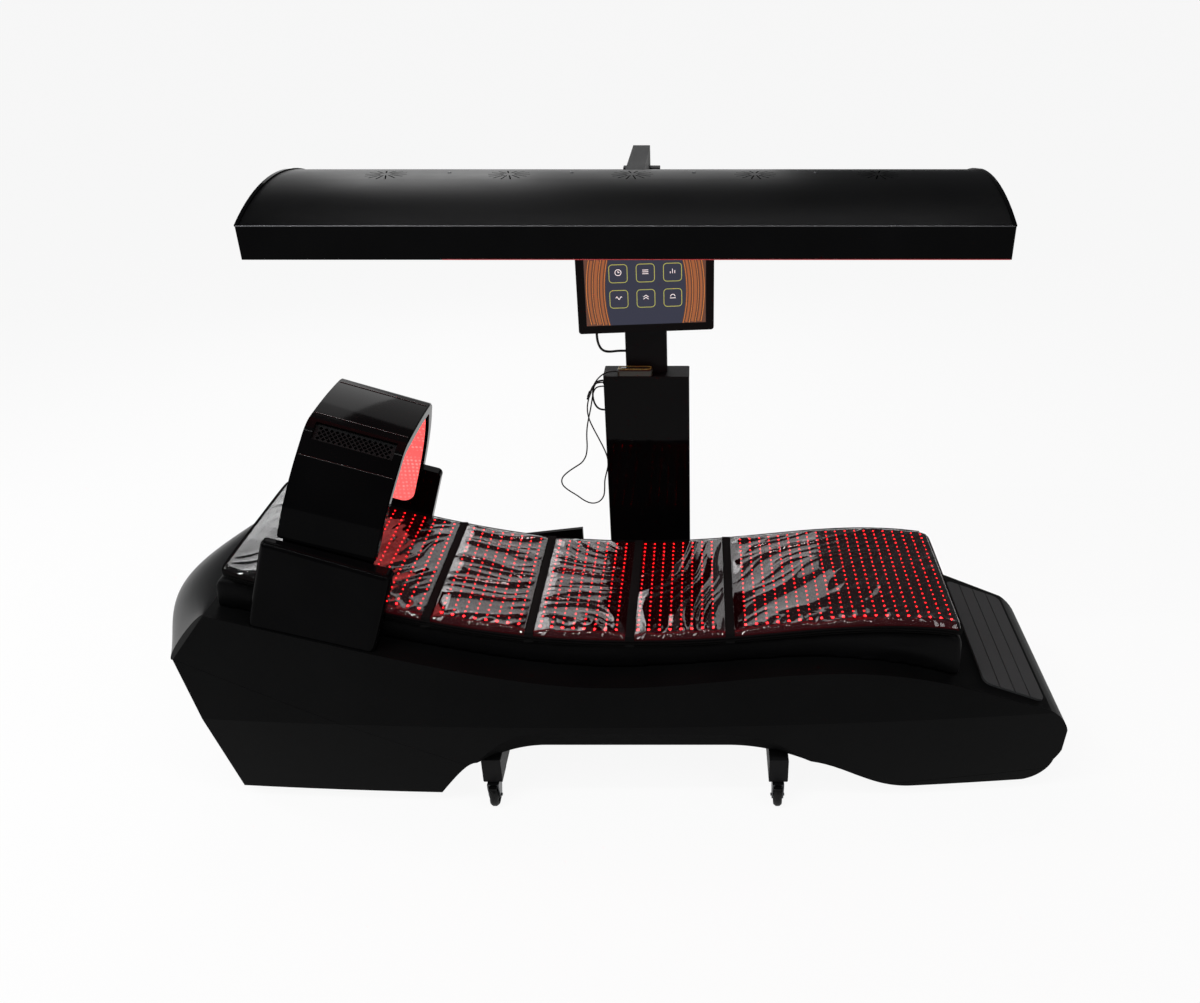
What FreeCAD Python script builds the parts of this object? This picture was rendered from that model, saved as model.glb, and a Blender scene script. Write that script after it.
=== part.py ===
import FreeCAD, Part
import math
import os
import Sketcher
from FreeCAD import Placement, Rotation, Vector

# Red light therapy bed: a boat-shaped shell on castors carries a cushion and a lamp mat,
# a face hood hinged between two pods, and a column at the back with a screen and a
# canopy lamp on a lifting mast.
# Frame: +X from head to foot, +Z up, origin on the floor under the middle of the outline.

SIZES = {
    # Bed shell, side outline
    "bed_axis_y": -52.5,
    "shell_wall": 5,
    "seam_gap": 0.8,
    "floor_gap": 40,
    "rim_x": -1009,
    "rim_height": 630,
    "back_x": -777,
    "back_height": 572,
    "lumbar_x": -413,
    "lumbar_height": 484,
    "waist_x": -39,
    "waist_height": 430,
    "knee_x": 592,
    "knee_height": 461,
    "calf_x": 780,
    "calf_height": 434,
    "step_top_x": 930,
    "step_top_height": 388,
    "step_low_x": 1140,
    "step_low_height": 308,
    "nose_x": 1203,
    "nose_height": 212,
    "nose_low_x": 1184,
    "nose_low_height": 116,
    "foot_base_x": 1108,
    "foot_arch_x": 800,
    "foot_arch_top_x": 458,
    "head_arch_x": -491,
    "head_arch_top_x": -380,
    "belly_height": 163,
    "head_base_x": -1043,
    "rake_top_x": -1120,
    "rake_top_height": 490,
    # Bilge: the rounded-under lower band of the shell's sides
    "crease_height": 281,
    "crease_head_x": -205,
    "crease_foot_x": 290,
    "crease_foot_end_x": 840,
    "bilge_run": 90,
    # Bed shell, plan and section
    "half_width": 330,
    "head_half_width": 292,
    "foot_half_width": 266,
    "widest_x": -10,
    "foot_corner_x": 1199,
    "base_draw_in": 38,
    "draw_in_height": 300,
    "cap_bulge": 95,
    "cap_side_bulge": 14,
    # Split lines of the shell
    "seam_head_x": -1112,
    "seam_head_height": 489,
    "seam_low_x": -432,
    "seam_low_height": 165,
    "skirt_head_x": 690,
    "skirt_head_height": 50,
    "skirt_foot_height": 84,
    # Step plate at the foot
    "plate_start": 30,
    "plate_length": 180,
    "plate_half_width": 245,
    "plate_thickness": 6,
    "plate_corner": 22,
    "groove_width": 4,
    "groove_depth": 3,
    "groove_pitch": 45,
    "groove_count": 3,
    # Cushion, lamp mat and straps
    "soft_gap": 0.3,
    "pad_half_width": 252,
    "pad_draw_in": 5,
    "pad_side_bulge": 5,
    "cushion_crown": 4,
    "cushion_nose": 22,
    "pad_steps": 20,
    "mat_thickness": 28,
    "mat_crown": 3,
    "mat_side_bulge": 6,
    "mat_head_x": -972,
    "mat_head_height": 735,
    "mat_back_x": -560,
    "mat_back_height": 605,
    "mat_lumbar_x": -205,
    "mat_lumbar_height": 536,
    "mat_waist_x": -20,
    "mat_waist_height": 524,
    "mat_thigh_x": 250,
    "mat_thigh_height": 531,
    "mat_knee_x": 600,
    "mat_knee_height": 566,
    "mat_foot_x": 890,
    "mat_foot_height": 552,
    "strap_width": 24,
    "strap_thickness": 1.5,
    "strap_first_x": -480,
    "strap_pitch": 257,
    "strap_count": 4,
    # Chassis, cross beams and castors
    "rail_side": 40,
    "rail_wall": 3,
    "rail_offset": 150,
    "rail_head_x": -900,
    "rail_foot_x": 800,
    "beam_head_x": -346,
    "beam_foot_x": 426,
    "beam_width": 52,
    "beam_height": 75,
    "beam_half_length": 301,
    "beam_wall": 3,
    "castor_offset_y": 268,
    "castor_trail": 22,
    "castor_plate_width": 50,
    "castor_plate_length": 60,
    "castor_plate_thickness": 4,
    "wheel_diameter": 63,
    "wheel_width": 22,
    "axle_radius": 4,
    "axle_clearance": 0.1,
    "axle_head": 3,
    "fork_wall": 3,
    "fork_clearance": 2,
    "fork_roof": 4,
    "swivel_gap": 0.5,
    "stem_radius": 11,
    "king_pin_radius": 6,
    "king_pin_clearance": 0.1,
    "pedal_width": 20,
    "pedal_length": 18,
    "pedal_thickness": 5,
    "pedal_toe_rise": 3,
    "pedal_gap": 0.6,
    "pedal_reach": 35,
    "pedal_pin_radius": 2.5,
    "pedal_pin_clearance": 0.1,
    "pedal_barrel_radius": 5,
    "supply_length": 300,
    "supply_height": 90,
    # Face hood and its pods, along and square to the backrest
    "hood_x": -750,
    "hood_base_height": 569,
    "hood_tilt": 17.5,
    "hood_rear": -130,
    "hood_front": 108,
    "hood_half_width": 256,
    "hood_skirt_height": 232,
    "hood_shoulder_half_width": 172,
    "hood_shoulder_height": 460,
    "hood_side_radius": 398,
    "hood_crown_half_width": 122,
    "hood_crown_height": 501,
    "hood_corner_radius": 72,
    "hood_top_height": 507,
    "hood_wall": 30,
    "hood_lip": 3,
    "leg_outer": 246,
    "leg_rear": -112,
    "leg_front": 90,
    "leg_bottom": 122,
    "liner_thickness": 5,
    "liner_margin": 8,
    "liner_corner": 34,
    "grille_length": 196,
    "grille_width": 46,
    "grille_depth": 9,
    "grille_well": 5,
    "grille_thickness": 2.5,
    "grille_rim": 5,
    "mesh_pitch": 13,
    "mesh_web": 3,
    "pivot_x": -75,
    "pivot_height": 165,
    "pin_radius": 8,
    "pin_clearance": 0.1,
    "bush_wall": 4,
    "bush_flange": 3,
    "bush_depth": 30,
    "bush_floor": 2,
    "pin_end_gap": 3,
    "pod_inner": 258,
    "pod_rear": -160,
    "pod_front": 158,
    "pod_height": 226,
    "pod_outer_rear": 301,
    "pod_outer_front": 316,
    "bush_clearance": 0.05,
    "pod_lean": 16,
    "pod_round": 14,
    "pod_corner": 16,
    "wing_start_x": -372,
    "wing_end_x": -141,
    "wing_start_height": 497,
    "wing_end_height": 525,
    "wing_inset": 7,
    "wing_thickness": 12,
    # Column, mast and lift
    "column_x": 61,
    "column_y": 340,
    "column_width": 245,
    "column_depth": 85,
    "column_wall": 3,
    "column_round": 5,
    "base_plate_width": 265,
    "base_plate_thickness": 10,
    "cap_thickness": 6,
    "column_top": 1001,
    "cap_slot_gap": 0.5,
    "sleeve_width": 117,
    "sleeve_depth": 44,
    "sleeve_wall": 3,
    "sleeve_y": 357,
    "sleeve_top": 1330,
    "mast_width": 96,
    "mast_depth": 30,
    "mast_wall": 2.5,
    "mast_bottom": 620,
    "guide_gap": 0.3,
    "guide_height": 45,
    "guide_low": 900,
    "guide_drop": 6,
    "actuator_radius": 11,
    "actuator_bore": 6.4,
    "actuator_top": 940,
    "rod_radius": 6,
    "rod_bottom": 560,
    "bracket_width": 110,
    "bracket_gap": 2,
    # Canopy lamp
    "canopy_x": 61,
    "canopy_length": 1611,
    "canopy_depth": 517,
    "canopy_bottom": 1502,
    "apron_height": 69,
    "apron_wall": 3,
    "apron_lip": 15,
    "apron_round": 4,
    "cover_rise": 55,
    "cover_skin": 3,
    "end_cap_thickness": 8,
    "end_cap_proud": 3,
    "vent_pitch": 277,
    "vent_count": 5,
    "vent_radius": 47,
    "vent_hub": 13,
    "slit_width": 3.2,
    "slit_count": 14,
    "diffuser_thickness": 4,
    "board_thickness": 4,
    "board_rise": 14,
    "board_margin": 4,
    "fan_side": 80,
    "fan_height": 25,
    "hanger_offset": 95,
    "hanger_side": 30,
    "hanger_plate": 8,
    "hanger_plate_length": 160,
    "arm_width": 44,
    "arm_height": 50,
    "arm_wall": 3,
    "arm_bottom": 1567,
    "arm_front_y": 2.5,
    "arm_slot_gap": 4,
    "arm_slot_y": 25,
    # Screen on its yoke
    "screen_width": 366,
    "screen_height": 225,
    "screen_thickness": 30,
    "screen_bottom": 1156,
    "screen_y": 248,
    "screen_turn": 6.4,
    "screen_round": 8,
    "bezel": 21,
    "glass_thickness": 2.5,
    "swivel_y": 312,
    "swivel_radius": 12,
    "swivel_pin_radius": 5,
    "yoke_height": 40,
    "ear_thickness": 6,
    "tilt_y": 279,
    "tilt_pin_radius": 4,
    "tilt_lug_half_span": 24,
    "lug_thickness": 6,
    "lug_radius": 10,
    "lug_bite": 1,
    "vesa_side": 100,
    "vesa_plate": 4,
    "running_gap": 0.3,
    "pivot_clearance": 0.1,
    # Handset and leads
    "handset_length": 100,
    "handset_depth": 30,
    "handset_height": 20,
    "handset_x": 29,
    "handset_y": 314,
    "handset_round": 6,
    "handset_lead_diameter": 4,
    "side_lead_diameter": 5.5,
    "screen_cable_diameter": 7,
    "plug_diameter": 9,
    "plug_length": 26,
    "grommet_wall": 3,
    "grommet_proud": 2.5,
}

# Shares that shape the free curves
FOOT_EASE = 0.4
HEAD_EASE = 0.2
HEAD_KNEE = Vector(0.45, 0, 0.65)
HEEL_BOW = 1 / 6
BILGE_EASE = 0.44
BILGE_KNEE = Vector(0.25, 0, 0.45)
CAP_LOW_PULL = Vector(1.8, 0, 0)
CAP_HIGH_PULL = Vector(1.7, 0, 0.1)
CAP_STEPS = 4
SPLINE_POINTS = 16
ARC_SHARE = 0.45
# How far a cutting tool reaches past what it cuts
PAST = 1.2
# Limits of the tests that pick edges: millimetres off a plane, and cosine of a lean
NEAR = 0.5
PARALLEL = 0.999
UPRIGHT = 0.9

document = FreeCAD.newDocument("LightTherapyBed")
sheet = document.addObject("Spreadsheet::Sheet", "Sizes")
for row, (alias, number) in enumerate(SIZES.items(), start=1):
    sheet.set(f"A{row}", alias)
    sheet.set(f"B{row}", str(number))
    sheet.setAlias(f"B{row}", alias)
document.recompute()


class Dim:
    """A size that keeps its number and the sheet formula it comes from."""

    def __init__(self, number, formula):
        self.number = number
        self.formula = formula

    def __float__(self):
        return self.number

    def __add__(self, other):
        other = dim(other)
        return Dim(self.number + other.number, f"({self.formula} + {other.formula})")

    def __sub__(self, other):
        other = dim(other)
        return Dim(self.number - other.number, f"({self.formula} - {other.formula})")

    def __mul__(self, other):
        other = dim(other)
        return Dim(self.number * other.number, f"({self.formula} * {other.formula})")

    def __truediv__(self, other):
        other = dim(other)
        return Dim(self.number / other.number, f"({self.formula} / {other.formula})")

    def __neg__(self):
        return Dim(-self.number, f"(0 - {self.formula})")

    def __radd__(self, other):
        return dim(other) + self

    def __rsub__(self, other):
        return dim(other) - self

    def __rmul__(self, other):
        return dim(other) * self


def dim(value):
    return value if isinstance(value, Dim) else Dim(float(value), repr(float(value)))


def root(value):
    return Dim(math.sqrt(value.number), f"sqrt({value.formula})")


class Sheet:
    """Every cell of the sheet as a Dim, by its alias."""

    def __init__(self):
        for alias in SIZES:
            setattr(self, alias, Dim(float(sheet.get(alias)), f"Sizes.{alias}"))


s = Sheet()
subparts = {}

X_AXIS = Vector(1, 0, 0)
Y_AXIS = Vector(0, 1, 0)
Z_AXIS = Vector(0, 0, 1)
TURN_TO = {
    "X": Rotation(Y_AXIS, 90),
    "Y": Rotation(X_AXIS, -90),
    "Z": Rotation(),
}


def vec(x, y, z):
    return Vector(float(x), float(y), float(z))


def bind(item, prop, value):
    item.setExpression(prop, dim(value).formula)


def place(item, x, y, z, rotation=Rotation()):
    item.Placement = Placement(vec(x, y, z), rotation)
    for axis, value in zip("xyz", (x, y, z)):
        bind(item, f"Placement.Base.{axis}", value)
    return item


def keep(item, name):
    item.Label = name
    subparts[name] = item
    return item


def box(name, size, corner):
    item = document.addObject("Part::Box", name)
    for prop, value in zip(("Length", "Width", "Height"), size):
        setattr(item, prop, float(value))
        bind(item, prop, value)
    return place(item, *corner)


def centred_box(name, size, centre_x, centre_y, bottom):
    length, width, height = (dim(value) for value in size)
    return box(name, size, (centre_x - length / 2, centre_y - width / 2, bottom))


def cylinder(name, radius, height, base, axis="Z"):
    item = document.addObject("Part::Cylinder", name)
    for prop, value in (("Radius", radius), ("Height", height)):
        setattr(item, prop, float(value))
        bind(item, prop, value)
    return place(item, *base, TURN_TO[axis])


def cut(name, base, *tools):
    item = document.addObject("Part::Cut", name)
    item.Base = base
    item.Tool = tools[0] if len(tools) == 1 else fuse(f"{name}_tools", *tools)
    return item


def fuse(name, *shapes):
    item = document.addObject("Part::MultiFuse", name)
    item.Shapes = list(shapes)
    return item


def group(name, *items):
    """Separate solids that share one node."""
    item = document.addObject("Part::Compound", name)
    item.Links = list(items)
    return item


def feature(name, shape, rotation=Rotation(), base=Vector()):
    """A free-form piece, worked out below from the sheet's sizes."""
    item = document.addObject("Part::Feature", name)
    item.Shape = shape
    item.Placement = Placement(base, rotation)
    return item


# Sketch helpers

def new_body(name):
    return document.addObject("PartDesign::Body", name)


def new_sketch(body, name, role, offset=0):
    sketch = body.newObject("Sketcher::SketchObject", name)
    plane = next(item for item in body.Origin.OriginFeatures if item.Role == role)
    sketch.AttachmentSupport = [(plane, "")]
    sketch.MapMode = "FlatFace"
    sketch.AttachmentOffset = Placement(vec(0, 0, offset), Rotation())
    bind(sketch, "AttachmentOffset.Base.z", offset)
    return sketch


def fix(sketch, kind, geometry, point, value, name):
    """Tie one coordinate of a sketch point to the sheet."""
    index = sketch.addConstraint(Sketcher.Constraint(kind, -1, 1, geometry, point, float(value)))
    sketch.renameConstraint(index, name)
    bind(sketch, f"Constraints.{name}", value)


def arc_between(start, end, radius):
    """The smaller arc from start to end; a positive radius turns it anticlockwise."""
    chord = end - start
    side = Vector(-chord.y, chord.x, 0).normalize()
    reach = math.sqrt(radius * radius - chord.Length ** 2 / 4)
    centre = (start + end) / 2 + side * (reach if radius > 0 else -reach)
    first, last = (start, end) if radius > 0 else (end, start)
    from_angle = math.atan2(first.y - centre.y, first.x - centre.x)
    to_angle = math.atan2(last.y - centre.y, last.x - centre.x)
    circle = Part.Circle(centre, Z_AXIS, abs(radius))
    return Part.ArcOfCircle(circle, from_angle, to_angle)


def draw(sketch, corners):
    """A closed outline; a corner's third value bends the edge that leaves it."""
    first = sketch.GeometryCount
    ends = []
    for index, corner in enumerate(corners):
        following = corners[(index + 1) % len(corners)]
        start = vec(corner[0], corner[1], 0)
        end = vec(following[0], following[1], 0)
        if len(corner) == 2:
            geometry = sketch.addGeometry(Part.LineSegment(start, end))
            ends.append((geometry, 1, 2))
            continue
        radius = float(corner[2])
        geometry = sketch.addGeometry(arc_between(start, end, radius))
        ends.append((geometry, 1, 2) if radius > 0 else (geometry, 2, 1))
        constraint = sketch.addConstraint(Sketcher.Constraint("Radius", geometry, abs(radius)))
        sketch.renameConstraint(constraint, f"radius{geometry}")
        bind(sketch, f"Constraints.radius{geometry}", corner[2] if radius > 0 else -dim(corner[2]))
    for index, (geometry, start_point, end_point) in enumerate(ends):
        after, after_start, _ = ends[(index + 1) % len(ends)]
        sketch.addConstraint(Sketcher.Constraint("Coincident", geometry, end_point, after, after_start))
    for index, (geometry, start_point, _) in enumerate(ends):
        fix(sketch, "DistanceX", geometry, start_point, corners[index][0], f"x{first + index}")
        fix(sketch, "DistanceY", geometry, start_point, corners[index][1], f"y{first + index}")


def rectangle(half_x, half_y, centre_x=0, centre_y=0):
    half_x, half_y = dim(half_x), dim(half_y)
    return [
        (centre_x - half_x, centre_y - half_y),
        (centre_x + half_x, centre_y - half_y),
        (centre_x + half_x, centre_y + half_y),
        (centre_x - half_x, centre_y + half_y),
    ]


def circle(sketch, x, y, radius):
    geometry = sketch.addGeometry(Part.Circle(vec(x, y, 0), Z_AXIS, float(radius)))
    constraint = sketch.addConstraint(Sketcher.Constraint("Radius", geometry, float(radius)))
    sketch.renameConstraint(constraint, f"radius{geometry}")
    bind(sketch, f"Constraints.radius{geometry}", radius)
    fix(sketch, "DistanceX", geometry, 3, x, f"x{geometry}")
    fix(sketch, "DistanceY", geometry, 3, y, f"y{geometry}")


def pad(body, sketch, length, midplane=False, backward=False):
    item = body.newObject("PartDesign::Pad", f"{sketch.Name}_pad")
    item.Profile = sketch
    item.SideType = "Symmetric" if midplane else "One side"
    item.Reversed = backward
    bind(item, "Length", length)
    return item


def pocket(body, sketch, depth, midplane=False, backward=False):
    item = body.newObject("PartDesign::Pocket", f"{sketch.Name}_pocket")
    item.Profile = sketch
    item.SideType = "Symmetric" if midplane else "One side"
    item.Reversed = backward
    bind(item, "Length", depth)
    return item


def round_edges(body, base, radius, wanted):
    """Fillet the edges of a feature that the test picks."""
    document.recompute()
    names = [f"Edge{index}" for index, edge in enumerate(base.Shape.Edges, start=1) if wanted(edge)]
    item = body.newObject("PartDesign::Fillet", f"{base.Name}_round")
    item.Base = (base, names)
    bind(item, "Radius", radius)
    return item


def along(axis):
    """A test for straight edges that run along an axis."""
    def wanted(edge):
        if edge.Curve.TypeId != "Part::GeomLine":
            return False
        return abs(edge.Curve.Direction.dot(axis)) > PARALLEL
    return wanted


# Bed shell

def side_outline():
    """Outline of the shell in the plane of the bed's axis, as a wire."""
    def at(x, z):
        return vec(x, 0, z)
    step_top = at(s.step_top_x, s.step_top_height)
    step_low = at(s.step_low_x, s.step_low_height)
    foot_base = at(s.foot_base_x, s.floor_gap)
    nose_low = at(s.nose_low_x, s.nose_low_height)
    foot_arch = at(s.foot_arch_x, s.floor_gap)
    foot_top = at(s.foot_arch_top_x, s.belly_height)
    head_top = at(s.head_arch_top_x, s.belly_height)
    head_arch = at(s.head_arch_x, s.floor_gap)
    head_base = at(s.head_base_x, s.floor_gap)
    rake_top = at(s.rake_top_x, s.rake_top_height)
    rim = at(s.rim_x, s.rim_height)
    reach = (foot_arch.x - foot_top.x) * FOOT_EASE
    foot_curve = Part.BezierCurve()
    foot_curve.setPoles([foot_arch, foot_arch - X_AXIS * reach, foot_top + X_AXIS * reach, foot_top])
    drop = head_top.z - head_arch.z
    head_curve = Part.BezierCurve()
    head_knee = head_arch + HEAD_KNEE * drop
    head_curve.setPoles([head_top, head_top - X_AXIS * drop * HEAD_EASE, head_knee, head_arch])
    nose = Part.Arc(step_low, at(s.nose_x, s.nose_height), nose_low)
    bow = (nose_low - foot_base).Length * HEEL_BOW
    heel = (nose_low + foot_base) / 2 + Vector(1, 0, -1).normalize() * bow
    edges = [
        deck_curve(),
        Part.LineSegment(step_top, step_low),
        nose,
        Part.Arc(nose_low, heel, foot_base),
        Part.LineSegment(foot_base, foot_arch),
        foot_curve,
        Part.LineSegment(foot_top, head_top),
        head_curve,
        Part.LineSegment(head_arch, head_base),
        Part.LineSegment(head_base, rake_top),
        Part.LineSegment(rake_top, rim),
    ]
    return Part.Wire([edge.toShape() for edge in edges])


def deck_curve():
    """The top of the shell from the head rim to the step, which the cushion lies on."""
    stations = (
        (s.rim_x, s.rim_height),
        (s.back_x, s.back_height),
        (s.lumbar_x, s.lumbar_height),
        (s.waist_x, s.waist_height),
        (s.knee_x, s.knee_height),
        (s.calf_x, s.calf_height),
        (s.step_top_x, s.step_top_height),
    )
    points = [vec(x, 0, z) for x, z in stations]
    step = vec(s.step_low_x - s.step_top_x, 0, s.step_low_height - s.step_top_height)
    curve = Part.BSplineCurve()
    curve.interpolate(
        Points=points,
        InitialTangent=(points[1] - points[0]).normalize(),
        FinalTangent=step.normalize(),
    )
    return curve


def plan_arcs():
    """The arcs that bound the shell from above: front side, rear side and toe."""
    axis_y = float(s.bed_axis_y)
    head = float(s.head_half_width)
    foot = float(s.foot_half_width)
    corner_x = float(s.foot_corner_x)

    def at(x, y):
        return Vector(float(x), axis_y + y, 0)
    middle = float(s.half_width)
    sides = [
        Part.Arc(at(s.rake_top_x, side * head), at(s.widest_x, side * middle), at(corner_x, side * foot))
        for side in (-1, 1)
    ]
    toe = Part.Arc(at(corner_x, -foot), at(s.nose_x, 0), at(corner_x, foot))
    return [arc.toShape().Curve for arc in (*sides, toe)]


def plan_solid(inset):
    """The room within the shell's sides: upright above a height, drawn in below it."""
    top = 2 * float(s.rim_height)
    bend = float(s.draw_in_height)
    head = float(s.rake_top_x) * PAST
    width = 3 * float(s.half_width)
    room = Part.makeBox(float(s.nose_x) * PAST - head, width, top, Vector(head, -width / 2, 0))
    *sides, toe = plan_arcs()
    for arc in sides:
        radius = arc.Radius - inset
        upper = Part.makeCylinder(radius, top - bend, arc.Center + Z_AXIS * bend)
        lower = Part.makeCone(radius - float(s.base_draw_in), radius, bend, arc.Center)
        room = room.common(lower.fuse(upper))
    end = Part.makeCylinder(toe.Radius - inset, top, toe.Center)
    end.rotate(toe.Center, Z_AXIS, 180)
    return room.common(end).Solids[0]


def across(face, half):
    """Extrude a face in the bed's mid plane to both sides of the bed's axis."""
    start = face.translated(Vector(0, float(s.bed_axis_y) - half, 0))
    return start.extrude(Y_AXIS * 2 * half)


def bilge_tools(lift):
    """What is cut off under the crease on each side, to turn the belly under."""
    slope = float(s.crease_height - s.belly_height) / float(s.bilge_run)
    head_end = vec(s.head_arch_x, 0, s.floor_gap)
    head_top = vec(s.crease_head_x, 0, s.crease_height)
    foot_top = vec(s.crease_foot_x, 0, s.crease_height)
    foot_end = vec(s.crease_foot_end_x, 0, s.floor_gap)
    head_run = head_top - head_end
    head_curve = Part.BezierCurve()
    head_knee = head_end + Vector(head_run.x * BILGE_KNEE.x, 0, head_run.z * BILGE_KNEE.z)
    head_curve.setPoles([head_end, head_knee, head_top - X_AXIS * head_run.x * BILGE_EASE, head_top])
    foot_reach = (foot_end.x - foot_top.x) * FOOT_EASE
    foot_curve = Part.BezierCurve()
    foot_curve.setPoles([foot_top, foot_top + X_AXIS * foot_reach, foot_end - X_AXIS * foot_reach, foot_end])
    depth = Z_AXIS * float(s.rim_height)
    edges = [
        head_curve,
        Part.LineSegment(head_top, foot_top),
        foot_curve,
        Part.LineSegment(foot_end, foot_end - depth),
        Part.LineSegment(foot_end - depth, head_end - depth),
        Part.LineSegment(head_end - depth, head_end),
    ]
    face = Part.Face(Part.Wire([edge.toShape() for edge in edges]))
    run = float(s.half_width)
    margin = run / 5
    tools = []
    for side in (-1, 1):
        outer = Vector(0, float(s.bed_axis_y) + side * (run + margin), lift + margin * slope)
        inward = Vector(0, -side * (run + margin), -(run + margin) * slope)
        tools.append(face.translated(outer).extrude(inward))
    return tools


def shell_block():
    """The whole outer form of the shell, before it is hollowed and split."""
    block = across(Part.Face(side_outline()), float(s.half_width) * PAST)
    return block.common(plan_solid(0)).cut(bilge_tools(0))


def inner_outline(depth):
    """The side outline drawn in by a depth, with its free curves as plain splines."""
    edges = []
    for edge in Part.Face(side_outline()).makeOffset2D(-depth, 0).Edges:
        if edge.Curve.TypeId in ("Part::GeomLine", "Part::GeomCircle"):
            edges.append(edge)
            continue
        curve = Part.BSplineCurve()
        curve.interpolate(edge.discretize(Number=SPLINE_POINTS))
        edges.append(curve.toShape())
    return Part.Face(Part.Wire(Part.__sortEdges__(edges)))


def shell_cavity():
    """The room inside the shell, open at the bottom of its head and foot blocks."""
    wall = float(s.shell_wall)
    room = across(inner_outline(wall), float(s.half_width) * PAST)
    lift = wall * 1.7
    cavity = room.common(plan_solid(wall)).cut(bilge_tools(lift))
    floor = float(s.floor_gap)
    sides = plan_solid(wall)
    reach = 4 * wall
    head = float(s.head_base_x) + reach, float(s.head_arch_x) - reach
    foot = float(s.foot_arch_x) + 2 * reach, float(s.foot_base_x) - wall
    width = 3 * float(s.half_width)
    for low, high in (head, foot):
        window = Part.makeBox(high - low, width, floor / 2 + 3 * wall, Vector(low, -width / 2, floor / 2))
        cavity = cavity.fuse(sides.common(window))
    return cavity


def below_line(x1, z1, x2, z2, gap):
    """Everything under a sloped split line, past both sides of the bed."""
    far = float(s.rim_height)
    slope = (z2 - z1) / (x2 - x1)
    start = Vector(x1 - far / 4, 0, z1 - slope * far / 4 - gap)
    end = Vector(x2, 0, z2 - gap)
    points = [start, end, Vector(end.x, 0, -far), Vector(start.x, 0, -far), start]
    return across(Part.Face(Part.makePolygon(points)), far)


def make_shell():
    """Bed shell, head base cover and foot skirt, split from one hollow form."""
    hollow = shell_block().cut(shell_cavity())
    gap = float(s.seam_gap)
    end_x = float(s.head_arch_top_x)
    fall = float(s.seam_low_height - s.seam_head_height) / float(s.seam_low_x - s.seam_head_x)
    end_z = float(s.seam_head_height) + fall * (end_x - float(s.seam_head_x))
    head_line = float(s.seam_head_x), float(s.seam_head_height), end_x, end_z
    skirt_x = float(s.skirt_head_x)
    beyond = float(s.nose_x) * PAST
    rise = float(s.skirt_foot_height - s.skirt_head_height) / (float(s.nose_x) - skirt_x)
    far_z = float(s.skirt_head_height) + rise * (beyond - skirt_x)

    def skirt_region(lower):
        near = Vector(skirt_x, 0, float(s.skirt_head_height) - lower)
        far = Vector(beyond, 0, far_z - lower)
        points = [near, far, Vector(far.x, 0, -far.x), Vector(near.x, 0, -far.x), near]
        return across(Part.Face(Part.makePolygon(points)), beyond)
    upper = hollow.cut(below_line(*head_line, 0)).cut(skirt_region(0))
    for tool in bracket_openings():
        upper = upper.cut(tool)
    keep(feature("bed_shell", upper), "bed_shell")
    keep(feature("head_base_cover", hollow.common(below_line(*head_line, gap))), "head_base_cover")
    keep(feature("foot_skirt", hollow.common(skirt_region(gap))), "foot_skirt")


def bracket_openings():
    """The slot at the back of the shell where the column bracket passes."""
    gap = float(s.bracket_gap)
    width = float(s.bracket_width) + 2 * gap
    height = float(s.rail_side) + 2 * gap
    low = Vector(float(s.column_x) - width / 2, float(s.bed_axis_y + s.rail_offset), bracket_bottom() - gap)
    return [Part.makeBox(width, float(s.half_width), height, low)]


def bracket_bottom():
    return float(s.belly_height + s.shell_wall)


def make_head_end_cap():
    """Bulged end of the shell above the rake, lofted across the bed."""
    rim = vec(s.rim_x, s.bed_axis_y, s.rim_height)
    rake = vec(s.rake_top_x, s.bed_axis_y, s.rake_top_height)
    reach = float(s.head_half_width)
    side_bulge = float(s.cap_side_bulge)
    more_bulge = float(s.cap_bulge) - side_bulge
    wires = []
    for index in range(-CAP_STEPS, CAP_STEPS + 1):
        share = index / CAP_STEPS
        bulge = side_bulge + more_bulge * math.cos(share * math.pi / 2)
        low, high = (corner + Y_AXIS * reach * share for corner in (rake, rim))
        curve = Part.BezierCurve()
        curve.setPoles([low, low - CAP_LOW_PULL * bulge, high - CAP_HIGH_PULL * bulge, high])
        wires.append(Part.Wire([curve.toShape(), Part.makeLine(high, low)]))
    keep(feature("head_end_cap", Part.makeLoft(wires, True, False)), "head_end_cap")


def make_foot_plate():
    body = new_body("foot_plate")
    angle = math.degrees(math.atan2(
        float(s.step_top_height - s.step_low_height), float(s.step_low_x - s.step_top_x)))
    sketch = new_sketch(body, "plate_outline", "XY_Plane")
    draw(sketch, rectangle(s.plate_length / 2, s.plate_half_width, s.plate_start + s.plate_length / 2))
    slab = pad(body, sketch, s.plate_thickness)
    round_edges(body, slab, s.plate_corner, along(Z_AXIS))
    grooves = new_sketch(body, "plate_groove", "XY_Plane", s.plate_thickness)
    first = s.plate_start + s.groove_pitch
    draw(grooves, rectangle(s.groove_width / 2, s.plate_half_width * PAST, first))
    groove = pocket(body, grooves, s.groove_depth)
    document.recompute()
    pattern = body.newObject("PartDesign::LinearPattern", "plate_grooves")
    pattern.Originals = [groove]
    pattern.Direction = (grooves, ["H_Axis"])
    pattern.Mode = "Spacing"
    bind(pattern, "Offset", s.groove_pitch)
    bind(pattern, "Occurrences", s.groove_count)
    body.Tip = pattern
    place(body, s.step_top_x, s.bed_axis_y, s.step_top_height, Rotation(Y_AXIS, angle))
    keep(body, "foot_plate")


# Cushion, lamp mat and straps

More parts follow.
